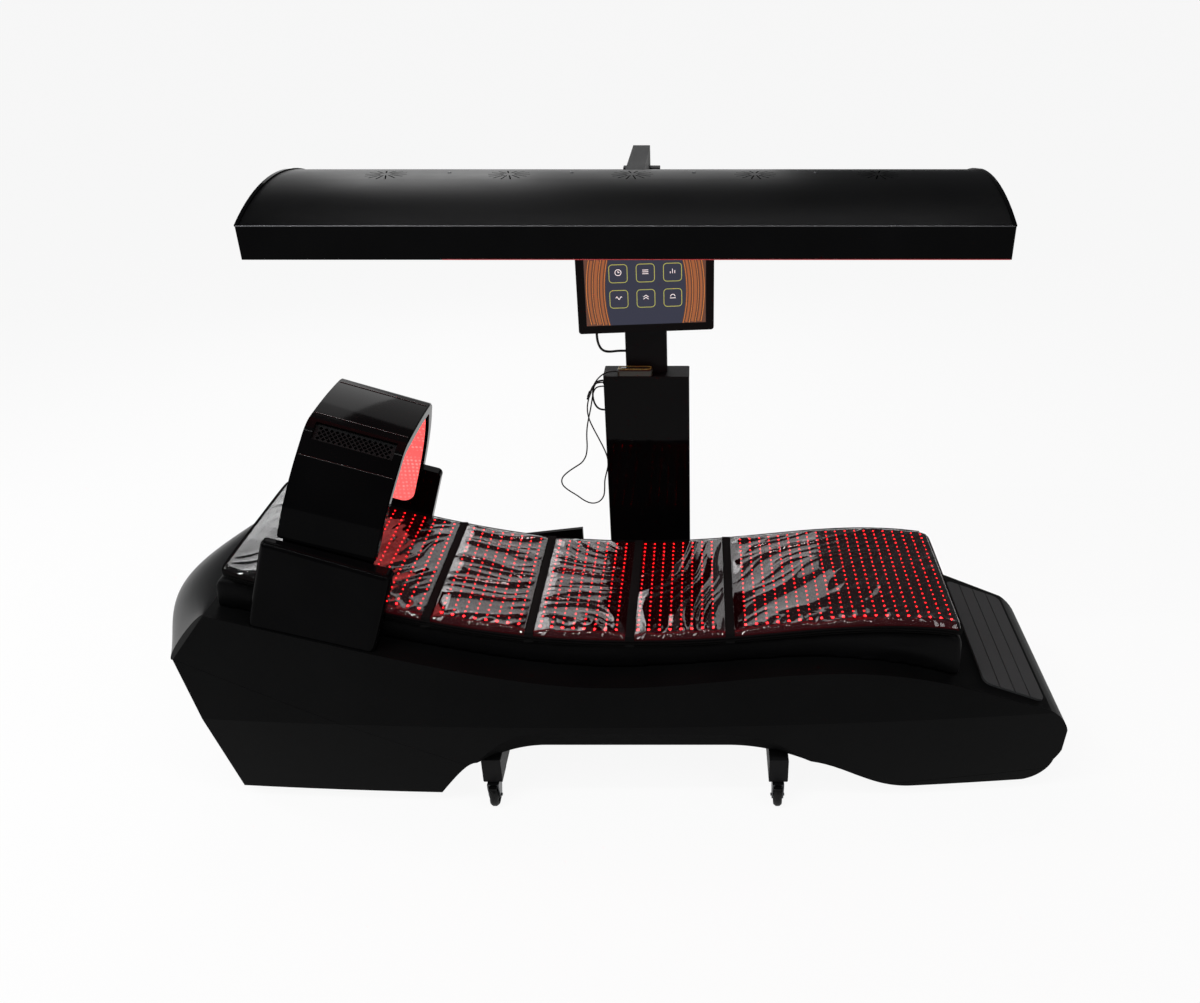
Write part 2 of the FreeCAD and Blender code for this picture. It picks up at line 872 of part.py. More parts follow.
def mat_stations():
    """Places and heights along the mat's top: a smooth curve through its named heights."""
    named = [
        (s.mat_head_x, s.mat_head_height),
        (s.mat_back_x, s.mat_back_height),
        (s.mat_lumbar_x, s.mat_lumbar_height),
        (s.mat_waist_x, s.mat_waist_height),
        (s.mat_thigh_x, s.mat_thigh_height),
        (s.mat_knee_x, s.mat_knee_height),
        (s.mat_foot_x, s.mat_foot_height),
    ]
    curve = Part.BSplineCurve()
    curve.interpolate([Vector(float(x), 0, float(height)) for x, height in named])
    steps = int(float(s.pad_steps))
    span = curve.LastParameter - curve.FirstParameter
    points = [curve.value(curve.FirstParameter + span * index / steps) for index in range(steps + 1)]
    return [(point.x, point.z) for point in points]


def pad_section(x, half, bottom, top, crown, bulge):
    """Cross-section of a pad: flat below, crowned on top, with full sides."""
    axis_y = float(s.bed_axis_y)

    def at(y, z):
        return Vector(x, axis_y + y, z)
    middle = (bottom + top) / 2
    edges = [
        Part.LineSegment(at(-half, bottom), at(half, bottom)),
        Part.Arc(at(half, bottom), at(half + bulge, middle), at(half, top)),
        Part.Arc(at(half, top), at(0, top + crown), at(-half, top)),
        Part.Arc(at(-half, top), at(-half - bulge, middle), at(-half, bottom)),
    ]
    return Part.Wire([edge.toShape() for edge in edges])


def pad_half_width(x):
    """Sides that draw in between the pad's ends."""
    share = (x - float(s.mat_head_x)) / float(s.mat_foot_x - s.mat_head_x)
    return float(s.pad_half_width) - float(s.pad_draw_in) * math.sin(math.pi * share)


def deck_prism(lift):
    """Everything under the deck, raised by a gap, to shape what lies on it."""
    face = Part.Face(side_outline())
    return across(face, float(s.half_width) * PAST).translated(Z_AXIS * lift)


def make_cushion():
    sections = []
    stations = mat_stations()
    nose = float(s.cushion_nose)
    bottom = float(s.step_low_height)
    last = len(stations) - 1
    for index, (station, height) in enumerate(stations):
        top = height - float(s.mat_thickness)
        ends = [(station, top)]
        if index == 0:
            fall = (stations[1][1] - height) / (stations[1][0] - station) * nose
            ends = [
                (station - nose, top - 2 * nose),
                (station - nose / 3, top - nose / 3),
                (station + nose, top + fall),
            ]
        if index == last:
            fall = (height - stations[-2][1]) / (station - stations[-2][0]) * nose
            ends = [
                (station - nose, top - fall),
                (station - nose / 3, top - nose / 4),
                (station, top - nose),
            ]
        for place_x, place_top in ends:
            sections.append(pad_section(
                place_x, pad_half_width(station), bottom, place_top,
                float(s.cushion_crown), float(s.pad_side_bulge)))
    cushion = Part.makeLoft(sections, True, False).cut(deck_prism(float(s.soft_gap)))
    keep(feature("base_cushion", cushion), "base_cushion")
    return cushion


def make_mat(cushion):
    sections = []
    for station, height in mat_stations():
        top = height - float(s.mat_crown)
        bottom = height - float(s.mat_thickness)
        sections.append(pad_section(
            station, pad_half_width(station), bottom, top, float(s.mat_crown), float(s.mat_side_bulge)))
    mat = Part.makeLoft(sections, True, False).cut(cushion.translated(Z_AXIS * float(s.soft_gap)))
    mat = max(mat.Solids, key=lambda solid: solid.Volume)
    keep(feature("led_mat", mat), "led_mat")
    return mat


def make_straps(mat):
    """Flat straps that lie on the mat from side to side."""
    gap = float(s.soft_gap)
    width = 3 * float(s.half_width)
    raised = mat.translated(Z_AXIS * (gap + float(s.strap_thickness)))
    covered = mat.translated(Z_AXIS * gap)
    straps = []
    for index in range(int(float(s.strap_count))):
        low = float(s.strap_first_x) + index * float(s.strap_pitch) - float(s.strap_width) / 2
        slab = Part.makeBox(float(s.strap_width), width, width, Vector(low, -width / 2, 0))
        strap = raised.common(slab).cut(covered)
        straps.append(max(strap.Solids, key=lambda solid: solid.Volume))
    keep(feature("mat_straps", Part.makeCompound(straps)), "mat_straps")


# Chassis, cross beams and castors

def tube(name, size, wall, corner, open_axis):
    """A rectangular tube, open at its ends along one axis."""
    outer = box(f"{name}_outer", size, corner)
    walls = [dim(0) if axis == open_axis else wall for axis in "XYZ"]
    inner_size = [value - 2 * skin for value, skin in zip(size, walls)]
    inner_corner = [value + skin for value, skin in zip(corner, walls)]
    inner = box(f"{name}_inner", inner_size, inner_corner)
    return cut(name, outer, inner)


def make_chassis():
    """Two rails along the bed on its belly, tied above each cross beam."""
    bottom = s.belly_height + s.shell_wall
    length = s.rail_foot_x - s.rail_head_x
    rails = []
    for name, side in (("rail_front", -1), ("rail_rear", 1)):
        y = s.bed_axis_y + side * s.rail_offset - s.rail_side / 2
        size = (length, s.rail_side, s.rail_side)
        rails.append(tube(name, size, s.rail_wall, (s.rail_head_x, y, bottom), "X"))
    ties = []
    gap = 2 * s.rail_offset - s.rail_side
    for name, x in (("tie_head", s.beam_head_x), ("tie_foot", s.beam_foot_x)):
        corner = (x - s.rail_side / 2, s.bed_axis_y - gap / 2, bottom)
        ties.append(tube(name, (s.rail_side, gap, s.rail_side), s.rail_wall, corner, "Y"))
    keep(fuse("chassis_frame", *rails, *ties), "chassis_frame")
    shelf = s.supply_length
    across_rails = 2 * s.rail_offset + s.rail_side
    keep(centred_box(
        "power_supply", (shelf, across_rails, s.supply_height),
        s.rail_head_x + shelf / 2, s.bed_axis_y, bottom + s.rail_side), "power_supply")


def make_beams():
    bottom = s.belly_height - s.beam_height
    for name, x in (("cross_beam_head", s.beam_head_x), ("cross_beam_foot", s.beam_foot_x)):
        body = new_body(name)
        sketch = new_sketch(body, f"{name}_section", "XZ_Plane")
        draw(sketch, rectangle(s.beam_width / 2, s.beam_height / 2, 0, s.beam_height / 2))
        bar = pad(body, sketch, 2 * s.beam_half_length, midplane=True)
        round_edges(body, bar, s.beam_wall, along(Y_AXIS))
        hollow = new_sketch(body, f"{name}_hollow", "XZ_Plane")
        inner = s.beam_width / 2 - s.beam_wall
        draw(hollow, rectangle(inner, s.beam_height / 2 - s.beam_wall, 0, s.beam_height / 2))
        pocket(body, hollow, 2 * (s.beam_half_length - s.beam_wall), midplane=True)
        place(body, x, s.bed_axis_y, bottom)
        keep(body, name)


def castor_seats():
    """Name, swivel axis and outward side of each castor."""
    seats = []
    for end, x in (("head", s.beam_head_x), ("foot", s.beam_foot_x)):
        for side_name, side in (("front", -1), ("rear", 1)):
            seats.append((f"{end}_{side_name}", x, s.bed_axis_y + side * s.castor_offset_y, side))
    return seats


def make_castors():
    plate_bottom = s.belly_height - s.beam_height - s.castor_plate_thickness
    plates = []
    for name, x, y, side in castor_seats():
        size = (s.castor_plate_width, s.castor_plate_length, s.castor_plate_thickness)
        plate = centred_box(f"plate_{name}", size, x, y, plate_bottom)
        hole_radius = s.king_pin_radius + s.king_pin_clearance
        hole = cylinder(f"plate_hole_{name}", hole_radius, s.castor_plate_thickness, (x, y, plate_bottom))
        plates.append(cut(f"castor_plate_{name}", plate, hole))
        make_fork(name, x, y, side, plate_bottom - s.swivel_gap)
        make_wheel(name, x, y, side)
    keep(group("castor_plates", *plates), "castor_plates")


def pedal_pivot(side, top):
    """Place of a brake pedal's hinge pin, out from the king pin and under the fork's roof."""
    return s.pedal_reach * side, top - s.fork_roof - s.pedal_gap - s.pedal_barrel_radius


def make_fork(name, x, y, side, top):
    """Fork of a castor: two cheeks under a roof with a round head, and the axle."""
    radius = s.wheel_diameter / 2
    inner = s.wheel_width / 2 + s.fork_clearance
    outer = inner + s.fork_wall
    roof = top - s.fork_roof
    body = new_body(f"castor_fork_{name}")
    cheek = new_sketch(body, f"fork_side_{name}", "YZ_Plane")
    axle_y = s.castor_trail * side
    tail = s.stem_radius * side
    lobe = s.axle_radius * 2
    has_pedal = side < 0
    pivot_y, pivot_height = pedal_pivot(side, top)
    edge = [(axle_y + tail / 2, top), (axle_y + tail, roof)]
    if has_pedal:
        lug = s.pedal_barrel_radius * 1.2
        edge = [(pivot_y + lug * side, top), (pivot_y + lug * side, pivot_height - lug)]
    draw(cheek, [
        (-tail, roof),
        (-tail, top),
        *edge,
        (axle_y + lobe * side, radius - lobe),
        (axle_y - lobe * side, radius - lobe),
    ])
    pad(body, cheek, 2 * outer, midplane=True)
    gap = new_sketch(body, f"fork_gap_{name}", "YZ_Plane")
    reach = s.castor_trail * 3
    draw(gap, [(-reach, 0), (reach, 0), (reach, roof), (-reach, roof)])
    pocket(body, gap, 2 * inner, midplane=True)
    axle = new_sketch(body, f"fork_axle_{name}", "YZ_Plane")
    circle(axle, axle_y, radius, s.axle_radius)
    pad(body, axle, 2 * (outer + s.axle_head), midplane=True)
    if has_pedal:
        hinge = new_sketch(body, f"fork_hinge_{name}", "YZ_Plane")
        circle(hinge, pivot_y, pivot_height, s.pedal_pin_radius)
        pad(body, hinge, 2 * outer, midplane=True)
    pin = new_sketch(body, f"fork_pin_{name}", "XY_Plane", roof)
    circle(pin, 0, 0, s.king_pin_radius)
    pad(body, pin, s.fork_roof + s.swivel_gap + s.castor_plate_thickness)
    place(body, x, y, 0)
    keep(body, f"castor_fork_{name}")


def make_wheel(name, x, y, side):
    """Wheel turned about its axle, with a rounded tread and dished sides."""
    body = new_body(f"castor_wheel_{name}")
    sketch = new_sketch(body, f"wheel_section_{name}", "XY_Plane")
    half = s.wheel_width / 2
    radius = s.wheel_diameter / 2
    web = half * 0.55
    dish = half * 0.3
    rim = half * 0.2
    crown = half * 0.45
    bore = s.axle_radius + s.axle_clearance
    hub = bore + half / 2
    tread = radius - crown
    draw(sketch, [
        (-half, bore),
        (half, bore),
        (half, hub),
        (web, hub + dish),
        (web, tread - rim - dish),
        (half, tread - rim),
        (half, tread),
        (crown, radius),
        (-crown, radius),
        (-half, tread),
        (-half, tread - rim),
        (-web, tread - rim - dish),
        (-web, hub + dish),
        (-half, hub),
    ])
    turn = body.newObject("PartDesign::Revolution", f"wheel_turn_{name}")
    turn.Profile = sketch
    turn.ReferenceAxis = (sketch, ["H_Axis"])
    turn.Angle = 360
    place(body, x, y + side * s.castor_trail, radius)
    keep(body, f"castor_wheel_{name}")


def make_brake_pedals():
    """Foot pedals of the front castors: a barrel on the hinge pin and a plate with a raised toe."""
    top = s.belly_height - s.beam_height - s.castor_plate_thickness - s.swivel_gap
    for name, x, y, side in castor_seats():
        if side > 0:
            continue
        pivot_y, height = pedal_pivot(side, top)
        half = s.pedal_thickness / 2
        toe = pivot_y + s.pedal_length * side
        body = new_body(f"brake_pedal_{name}")
        plate = new_sketch(body, f"pedal_side_{name}", "YZ_Plane")
        draw(plate, [
            (pivot_y, height - half),
            (pivot_y, height + half),
            (toe - s.pedal_thickness * side, height + half),
            (toe, height + half + s.pedal_toe_rise),
            (toe, height - half),
        ])
        pad(body, plate, s.pedal_width, midplane=True)
        barrel = new_sketch(body, f"pedal_barrel_{name}", "YZ_Plane")
        circle(barrel, pivot_y, height, s.pedal_barrel_radius)
        pad(body, barrel, s.pedal_width, midplane=True)
        bore = new_sketch(body, f"pedal_bore_{name}", "YZ_Plane")
        circle(bore, pivot_y, height, s.pedal_pin_radius + s.pedal_pin_clearance)
        pocket(body, bore, 2 * s.pedal_width, midplane=True)
        place(body, x, y, 0)
        keep(body, f"brake_pedal_{name}")


# Face hood and pods: drawn square to the backrest, then tilted with it

def hood_place(item):
    rotation = Rotation(Y_AXIS, float(s.hood_tilt))
    return place(item, s.hood_x, s.bed_axis_y, s.hood_base_height, rotation)


def hood_matrix(shape):
    shape.Placement = Placement(
        vec(s.hood_x, s.bed_axis_y, s.hood_base_height), Rotation(Y_AXIS, float(s.hood_tilt)))
    return shape


def outward_arc(low, high, radius, side):
    """An arc of the hood's outline between two points, bowed away from the axis."""
    chord = high - low
    bow = radius - math.sqrt(radius ** 2 - chord.Length ** 2 / 4)
    middle = (low + high) / 2 + Vector(0, side * chord.z, -side * chord.y).normalize() * bow
    return Part.Arc(low, middle, high)


def hood_side(side, bottom):
    """One side of the hood's outline from its foot up to its crown."""
    foot = vec(0, side * s.hood_half_width, bottom)
    skirt = vec(0, side * s.hood_half_width, s.hood_skirt_height)
    shoulder = vec(0, side * s.hood_shoulder_half_width, s.hood_shoulder_height)
    crown = vec(0, side * s.hood_crown_half_width, s.hood_crown_height)
    return [
        Part.LineSegment(foot, skirt),
        outward_arc(skirt, shoulder, float(s.hood_side_radius), side),
        outward_arc(shoulder, crown, float(s.hood_corner_radius), side),
    ]


def hood_path(depth, bottom):
    """The hood's arch, seen along the backrest, at a depth under its outer face."""
    front = hood_side(-1, bottom)
    rear = hood_side(1, bottom)
    crown = Part.Arc(front[-1].EndPoint, vec(0, 0, s.hood_top_height), rear[-1].EndPoint)
    sill = Part.LineSegment(rear[0].StartPoint, front[0].StartPoint)
    edges = [*front, crown, *reversed(rear), sill]
    face = Part.Face(Part.Wire([edge.toShape() for edge in edges]))
    return face.makeOffset2D(-depth, 0) if depth else face


def arch(outer_depth, inner_depth, rear, front, bottom):
    """A band of the hood's arch between two depths, open below."""
    length = X_AXIS * (front - rear)
    margin = float(s.hood_wall) * 2
    outer = hood_path(outer_depth, bottom - margin).translated(X_AXIS * rear).extrude(length)
    inner = hood_path(inner_depth, bottom - margin).translated(X_AXIS * rear).extrude(length)
    half = float(s.hood_half_width) * PAST
    low = Vector(rear - margin, -half, bottom - 4 * margin)
    below = Part.makeBox(length.x + 2 * margin, 2 * half, 4 * margin, low)
    return outer.cut(inner).cut(below)


def make_hood():
    rear, front = float(s.hood_rear), float(s.hood_front)
    bottom, skirt = float(s.leg_bottom), float(s.hood_skirt_height)
    wall = float(s.hood_wall)
    lip = float(s.hood_lip)
    skin = arch(0, wall, rear + lip, front - lip, bottom)
    shell = arch(lip, wall, rear, front, bottom).fuse(skin).removeSplitter()
    wide = float(s.hood_half_width) * PAST
    leg = float(s.leg_outer)
    reliefs = []
    for side in (-1, 1):
        low_y = leg if side > 0 else -wide
        reliefs.append(Part.makeBox(front - rear, wide - leg, skirt - bottom, Vector(rear, low_y, bottom)))
    for low, high in ((rear, float(s.leg_rear)), (float(s.leg_front), front)):
        reliefs.append(Part.makeBox(high - low, 2 * wide, skirt - bottom, Vector(low, -wide, bottom)))
    shell = shell.cut(reliefs).cut(grille_recesses())
    keep(hood_place(feature("hood_shell", shell)), "hood_shell")
    margin = float(s.liner_margin)
    liner_outer = wall + float(s.soft_gap)
    liner_inner = liner_outer + float(s.liner_thickness)
    liner = arch(liner_outer, liner_inner, rear + margin, front - margin, bottom + margin)
    corners = [edge for edge in liner.Edges if is_liner_corner(edge)]
    liner = liner.makeFillet(float(s.liner_corner), corners)
    keep(hood_place(feature("hood_liner", liner)), "hood_liner")
    make_grilles()
    make_hood_pins()


def is_liner_corner(edge):
    """The short upright-to-level corners at the liner's four lower tips."""
    low = float(s.leg_bottom + s.liner_margin)
    on_bottom = abs(edge.BoundBox.ZMax - low) < NEAR
    return on_bottom and edge.BoundBox.YLength > edge.BoundBox.XLength


def grille_placement(side):
    """Frame of a grille: on the hood's shoulder, facing up and out."""
    low = vec(0, side * s.hood_shoulder_half_width, s.hood_shoulder_height)
    high = vec(0, side * s.hood_crown_half_width, s.hood_crown_height)
    rise = high - low
    angle = math.degrees(math.atan2(rise.z, rise.y))
    turn = Rotation(X_AXIS, angle if side < 0 else angle - 180)
    return Placement((low + high) / 2 + X_AXIS * float(s.hood_rear + s.hood_front) / 2, turn)


def grille_recesses():
    """A recess for each grille, with a well under it that leaves a ledge for its rim."""
    recesses = []
    depth = float(s.grille_depth)
    rim = float(s.grille_rim)
    for side in (-1, 1):
        for inset, deep in ((0, depth), (rim, depth + float(s.grille_well))):
            length = float(s.grille_length) - 2 * inset
            width = float(s.grille_width) - 2 * inset
            tool = Part.makeBox(length, width, 4 * depth + deep, Vector(-length / 2, -width / 2, -deep))
            tool.Placement = grille_placement(side)
            recesses.append(tool)
    return recesses


def make_grilles():
    """Mesh plates at the bottom of the recesses, with rows of square holes set on edge."""
    length, width = float(s.grille_length), float(s.grille_width)
    gap = float(s.running_gap)
    thickness = float(s.grille_thickness)
    pitch = float(s.mesh_pitch)
    half = (pitch - float(s.mesh_web)) / 2
    rim = float(s.grille_rim)
    plates = []
    for side in (-1, 1):
        corner = Vector(gap - length / 2, gap - width / 2, 0)
        outline = Part.makePlane(length - 2 * gap, width - 2 * gap, corner)
        holes = []
        columns = int((length - 2 * rim - 2 * half) / pitch)
        rows = int((width - 2 * rim - 2 * half) / (pitch / 2))
        for row in range(rows + 1):
            y = (row - rows / 2) * pitch / 2
            count = columns + 1 - row % 2
            for column in range(count):
                x = (column - (count - 1) / 2) * pitch
                tips = [(x + half, y), (x, y + half), (x - half, y), (x, y - half), (x + half, y)]
                holes.append(Part.Face(Part.makePolygon([Vector(*tip, 0) for tip in tips])))
        plate = outline.cut(Part.makeCompound(holes)).extrude(Z_AXIS * thickness)
        plate = plate.translated(Z_AXIS * (-float(s.grille_depth)))
        plate.Placement = grille_placement(side).multiply(plate.Placement)
        plates.append(plate)
    keep(hood_place(feature("hood_grilles", Part.makeCompound(plates))), "hood_grilles")


def make_hood_pins():
    """Hinge pins on the hood's legs, the bushes they turn in, and the pods around them."""
    pins = []
    bushes = []
    for side in (-1, 1):
        out = Y_AXIS * side
        start = vec(s.pivot_x, side * s.leg_outer, s.pivot_height)
        length = float(s.pod_inner + s.bush_depth - s.leg_outer - s.pin_end_gap)
        pins.append(Part.makeCylinder(float(s.pin_radius), length, start, out))
        seat = vec(s.pivot_x, side * (s.pod_inner - s.bush_flange), s.pivot_height)
        outer = float(s.pin_radius + s.bush_wall)
        sleeve = Part.makeCylinder(outer, float(s.bush_depth + s.bush_flange), seat, out)
        flange = Part.makeCylinder(outer + float(s.bush_wall), float(s.bush_flange), seat, out)
        bore_depth = float(s.bush_depth + s.bush_flange - s.bush_floor)
        bore = Part.makeCylinder(float(s.pin_radius + s.pin_clearance), bore_depth, seat, out)
        bushes.append(sleeve.fuse(flange).cut(bore))
    keep(hood_place(feature("hood_pins", Part.makeCompound(pins))), "hood_pins")
    keep(hood_place(feature("hinge_bushes", Part.makeCompound(bushes))), "hinge_bushes")


def outer_side(side):
    """What lies outside a pod's leaning outer face, which follows the shell's plan."""
    rear, front = float(s.pod_rear), float(s.pod_front)
    lean = float(s.pod_lean)
    top = float(s.pod_height)
    corner = Vector(rear, side * float(s.pod_outer_rear), 0)
    ahead = Vector(front, side * float(s.pod_outer_front), 0) - corner
    upward = Vector(0, -side * lean, top)
    start = corner - ahead - upward * 2
    points = [start, start + ahead * 3, start + ahead * 3 + upward * 4, start + upward * 4]
    return Part.Face(Part.makePolygon(points + points[:1])).extrude(Y_AXIS * side * top)


def make_pods():
    """Housings beside the hood, rounded on top, that stand on the deck."""
    rear, front = float(s.pod_rear), float(s.pod_front)
    inner = float(s.pod_inner)
    top = float(s.pod_height)
    upward = Rotation(Y_AXIS, float(s.hood_tilt)).multVec(Z_AXIS)
    crest = vec(s.hood_x, s.bed_axis_y, s.hood_base_height) + upward * top
    for name, side in (("pod_front", -1), ("pod_rear", 1)):
        low_y = inner if side > 0 else -inner - top
        block = Part.makeBox(front - rear, top, 2 * top, Vector(rear, low_y, -top))
        seat = Vector(float(s.pivot_x), side * inner, float(s.pivot_height))
        bore_radius = float(s.pin_radius + s.bush_wall + s.bush_clearance)
        bore = Part.makeCylinder(bore_radius, float(s.bush_depth + s.bush_clearance), seat, Y_AXIS * side)
        block = hood_matrix(block.cut(outer_side(side)).cut(bore)).cut(deck_prism(0))
        block = max(block.Solids, key=lambda solid: solid.Volume)
        corners = [edge for edge in block.Edges if is_pod_corner(edge, upward, inner)]
        block = block.makeFillet(float(s.pod_corner), corners)
        edges = [edge for edge in block.Edges if is_crest(edge, crest, upward, inner)]
        keep(feature(name, block.makeFillet(float(s.pod_round), edges)), name)


def is_pod_corner(edge, upward, inner):
    """Outer upright corner of a pod."""
    ends = [vertex.Point for vertex in edge.Vertexes]
    away = all(abs(abs(point.y - float(s.bed_axis_y)) - inner) > NEAR for point in ends)
    run = ends[-1] - ends[0]
    return away and abs(run.dot(upward)) > UPRIGHT * run.Length and run.Length > float(s.pod_corner)


def is_crest(edge, crest, upward, inner):
    """Outer top edge of a pod: level with its top and away from the hood."""
    ends = [vertex.Point for vertex in edge.Vertexes]
    level = all(abs((point - crest).dot(upward)) < NEAR for point in ends)
    away = all(abs(abs(point.y - float(s.bed_axis_y)) - inner) > NEAR for point in ends)
    return level and away


def make_rear_wing():
    """Low fin on the rear rim, beside the mat."""
    x1, x2 = float(s.wing_start_x), float(s.wing_end_x)
    bottom = float(s.belly_height)
    points = [
        Vector(x1, 0, bottom),
        Vector(x2, 0, bottom),
        Vector(x2, 0, float(s.wing_end_height)),
        Vector(x1, 0, float(s.wing_start_height)),
    ]
    face = Part.Face(Part.makePolygon(points + points[:1]))
    inset = float(s.wing_inset)
    block = across(face, float(s.half_width) * PAST)
    band = plan_solid(inset).cut(plan_solid(inset + float(s.wing_thickness)))
    far = 4 * float(s.half_width)
    rear = Part.makeBox(2 * far, far, far, Vector(-far, float(s.bed_axis_y), 0))
    wing = block.common(band).common(rear).cut(deck_prism(0))
    keep(feature("rear_cable_cover", max(wing.Solids, key=lambda solid: solid.Volume)), "rear_cable_cover")


# Column, mast and lift

def make_column():
    x, y = s.column_x, s.column_y
    base = s.base_plate_thickness
    base_size = (s.base_plate_width, s.column_depth, base)
    keep(centred_box("column_base_plate", base_size, x, y, 0), "column_base_plate")
    body = new_body("column_housing")
    outline = new_sketch(body, "column_outline", "XY_Plane")
    draw(outline, rectangle(s.column_width / 2, s.column_depth / 2))
    height = s.column_top - s.cap_thickness - base
    post = pad(body, outline, height)
    round_edges(body, post, s.column_round, along(Z_AXIS))
    inside = new_sketch(body, "column_inside", "XY_Plane")
    draw(inside, rectangle(s.column_width / 2 - s.column_wall, s.column_depth / 2 - s.column_wall))
    pocket(body, inside, height, backward=True)
    place(body, x, y, base)
    keep(body, "column_housing")
    cap = new_body("column_top_cap")
    top = new_sketch(cap, "cap_outline", "XY_Plane")
    draw(top, rectangle(s.column_width / 2, s.column_depth / 2))
    lid = pad(cap, top, s.cap_thickness)
    round_edges(cap, lid, s.column_round, along(Z_AXIS))
    slot = new_sketch(cap, "cap_slot", "XY_Plane")
    gap = s.cap_slot_gap
    draw(slot, rectangle(s.sleeve_width / 2 + gap, s.sleeve_depth / 2 + gap, 0, s.sleeve_y - y))
    pocket(cap, slot, s.cap_thickness, backward=True)
    place(cap, x, y, s.column_top - s.cap_thickness)
    keep(cap, "column_top_cap")


def make_mast():
    x, y = s.column_x, s.sleeve_y
    base = s.base_plate_thickness
    corner = (x - s.sleeve_width / 2, y - s.sleeve_depth / 2, base)
    size = (s.sleeve_width, s.sleeve_depth, s.sleeve_top - base)
    keep(tube("mast_sleeve", size, s.sleeve_wall, corner, "Z"), "mast_sleeve")
    mast_height = s.arm_bottom - s.mast_bottom
    outer = centred_box("mast_outer", (s.mast_width, s.mast_depth, mast_height), x, y, s.mast_bottom)
    skin = 2 * s.mast_wall
    inner_size = (s.mast_width - skin, s.mast_depth - skin, mast_height - s.arm_height)
    inner = centred_box("mast_inner", inner_size, x, y, s.mast_bottom)
    keep(cut("lift_mast", outer, inner), "lift_mast")
    guides = []
    top = s.sleeve_top - s.guide_height - s.guide_drop
    for name, low in (("guide_upper", top), ("guide_lower", s.guide_low)):
        size = (s.sleeve_width - 2 * s.sleeve_wall, s.sleeve_depth - 2 * s.sleeve_wall, s.guide_height)
        ring = centred_box(f"{name}_ring", size, x, y, low)
        window = (s.mast_width + 2 * s.guide_gap, s.mast_depth + 2 * s.guide_gap, s.guide_height)
        guides.append(cut(name, ring, centred_box(f"{name}_window", window, x, y, low)))
    keep(group("mast_guides", *guides), "mast_guides")
    barrel = cylinder("actuator_barrel", s.actuator_radius, s.actuator_top - base, (x, y, base))
    floor = base + s.actuator_radius
    bore = cylinder("actuator_hole", s.actuator_bore, s.actuator_top - base, (x, y, floor))
    keep(cut("lift_actuator", barrel, bore), "lift_actuator")
    rod_height = s.arm_bottom - s.arm_height - s.rod_bottom
    keep(cylinder("actuator_rod", s.rod_radius, rod_height, (x, y, s.rod_bottom)), "actuator_rod")
    rail_face = s.bed_axis_y + s.rail_offset + s.rail_side / 2
    reach = s.column_y - s.column_depth / 2 - rail_face
    corner = (x - s.bracket_width / 2, rail_face, s.belly_height + s.shell_wall)
    keep(box("column_bracket", (s.bracket_width, reach, s.rail_side), corner), "column_bracket")


# Canopy lamp

def make_canopy():
    x, y, bottom = s.canopy_x, s.bed_axis_y, s.canopy_bottom
    half_x, half_y = s.canopy_length / 2, s.canopy_depth / 2
    wall = s.apron_wall
    body = new_body("canopy_frame")
    outline = new_sketch(body, "apron_outline", "XY_Plane")
    draw(outline, rectangle(half_x, half_y))
    block = pad(body, outline, s.apron_height)
    round_edges(body, block, s.apron_round, along(Z_AXIS))
    room = new_sketch(body, "apron_room", "XY_Plane", wall)
    draw(room, rectangle(half_x - wall, half_y - wall))
    pocket(body, room, s.apron_height, backward=True)
    window = new_sketch(body, "apron_window", "XY_Plane")
    draw(window, rectangle(half_x - s.apron_lip, half_y - s.apron_lip))
    pocket(body, window, s.apron_height, backward=True)
    notch = new_sketch(body, "apron_notch", "XY_Plane", s.arm_bottom - bottom - s.arm_slot_gap)
    slot_half = s.arm_width / 2 + s.arm_slot_gap
    draw(notch, rectangle(slot_half, s.apron_lip, 0, half_y))
    pocket(body, notch, s.apron_height, backward=True)
    place(body, x, y, bottom)
    keep(body, "canopy_frame")
    make_canopy_cover(x, y, bottom + s.apron_height)
    make_canopy_inside(x, y, bottom + wall)


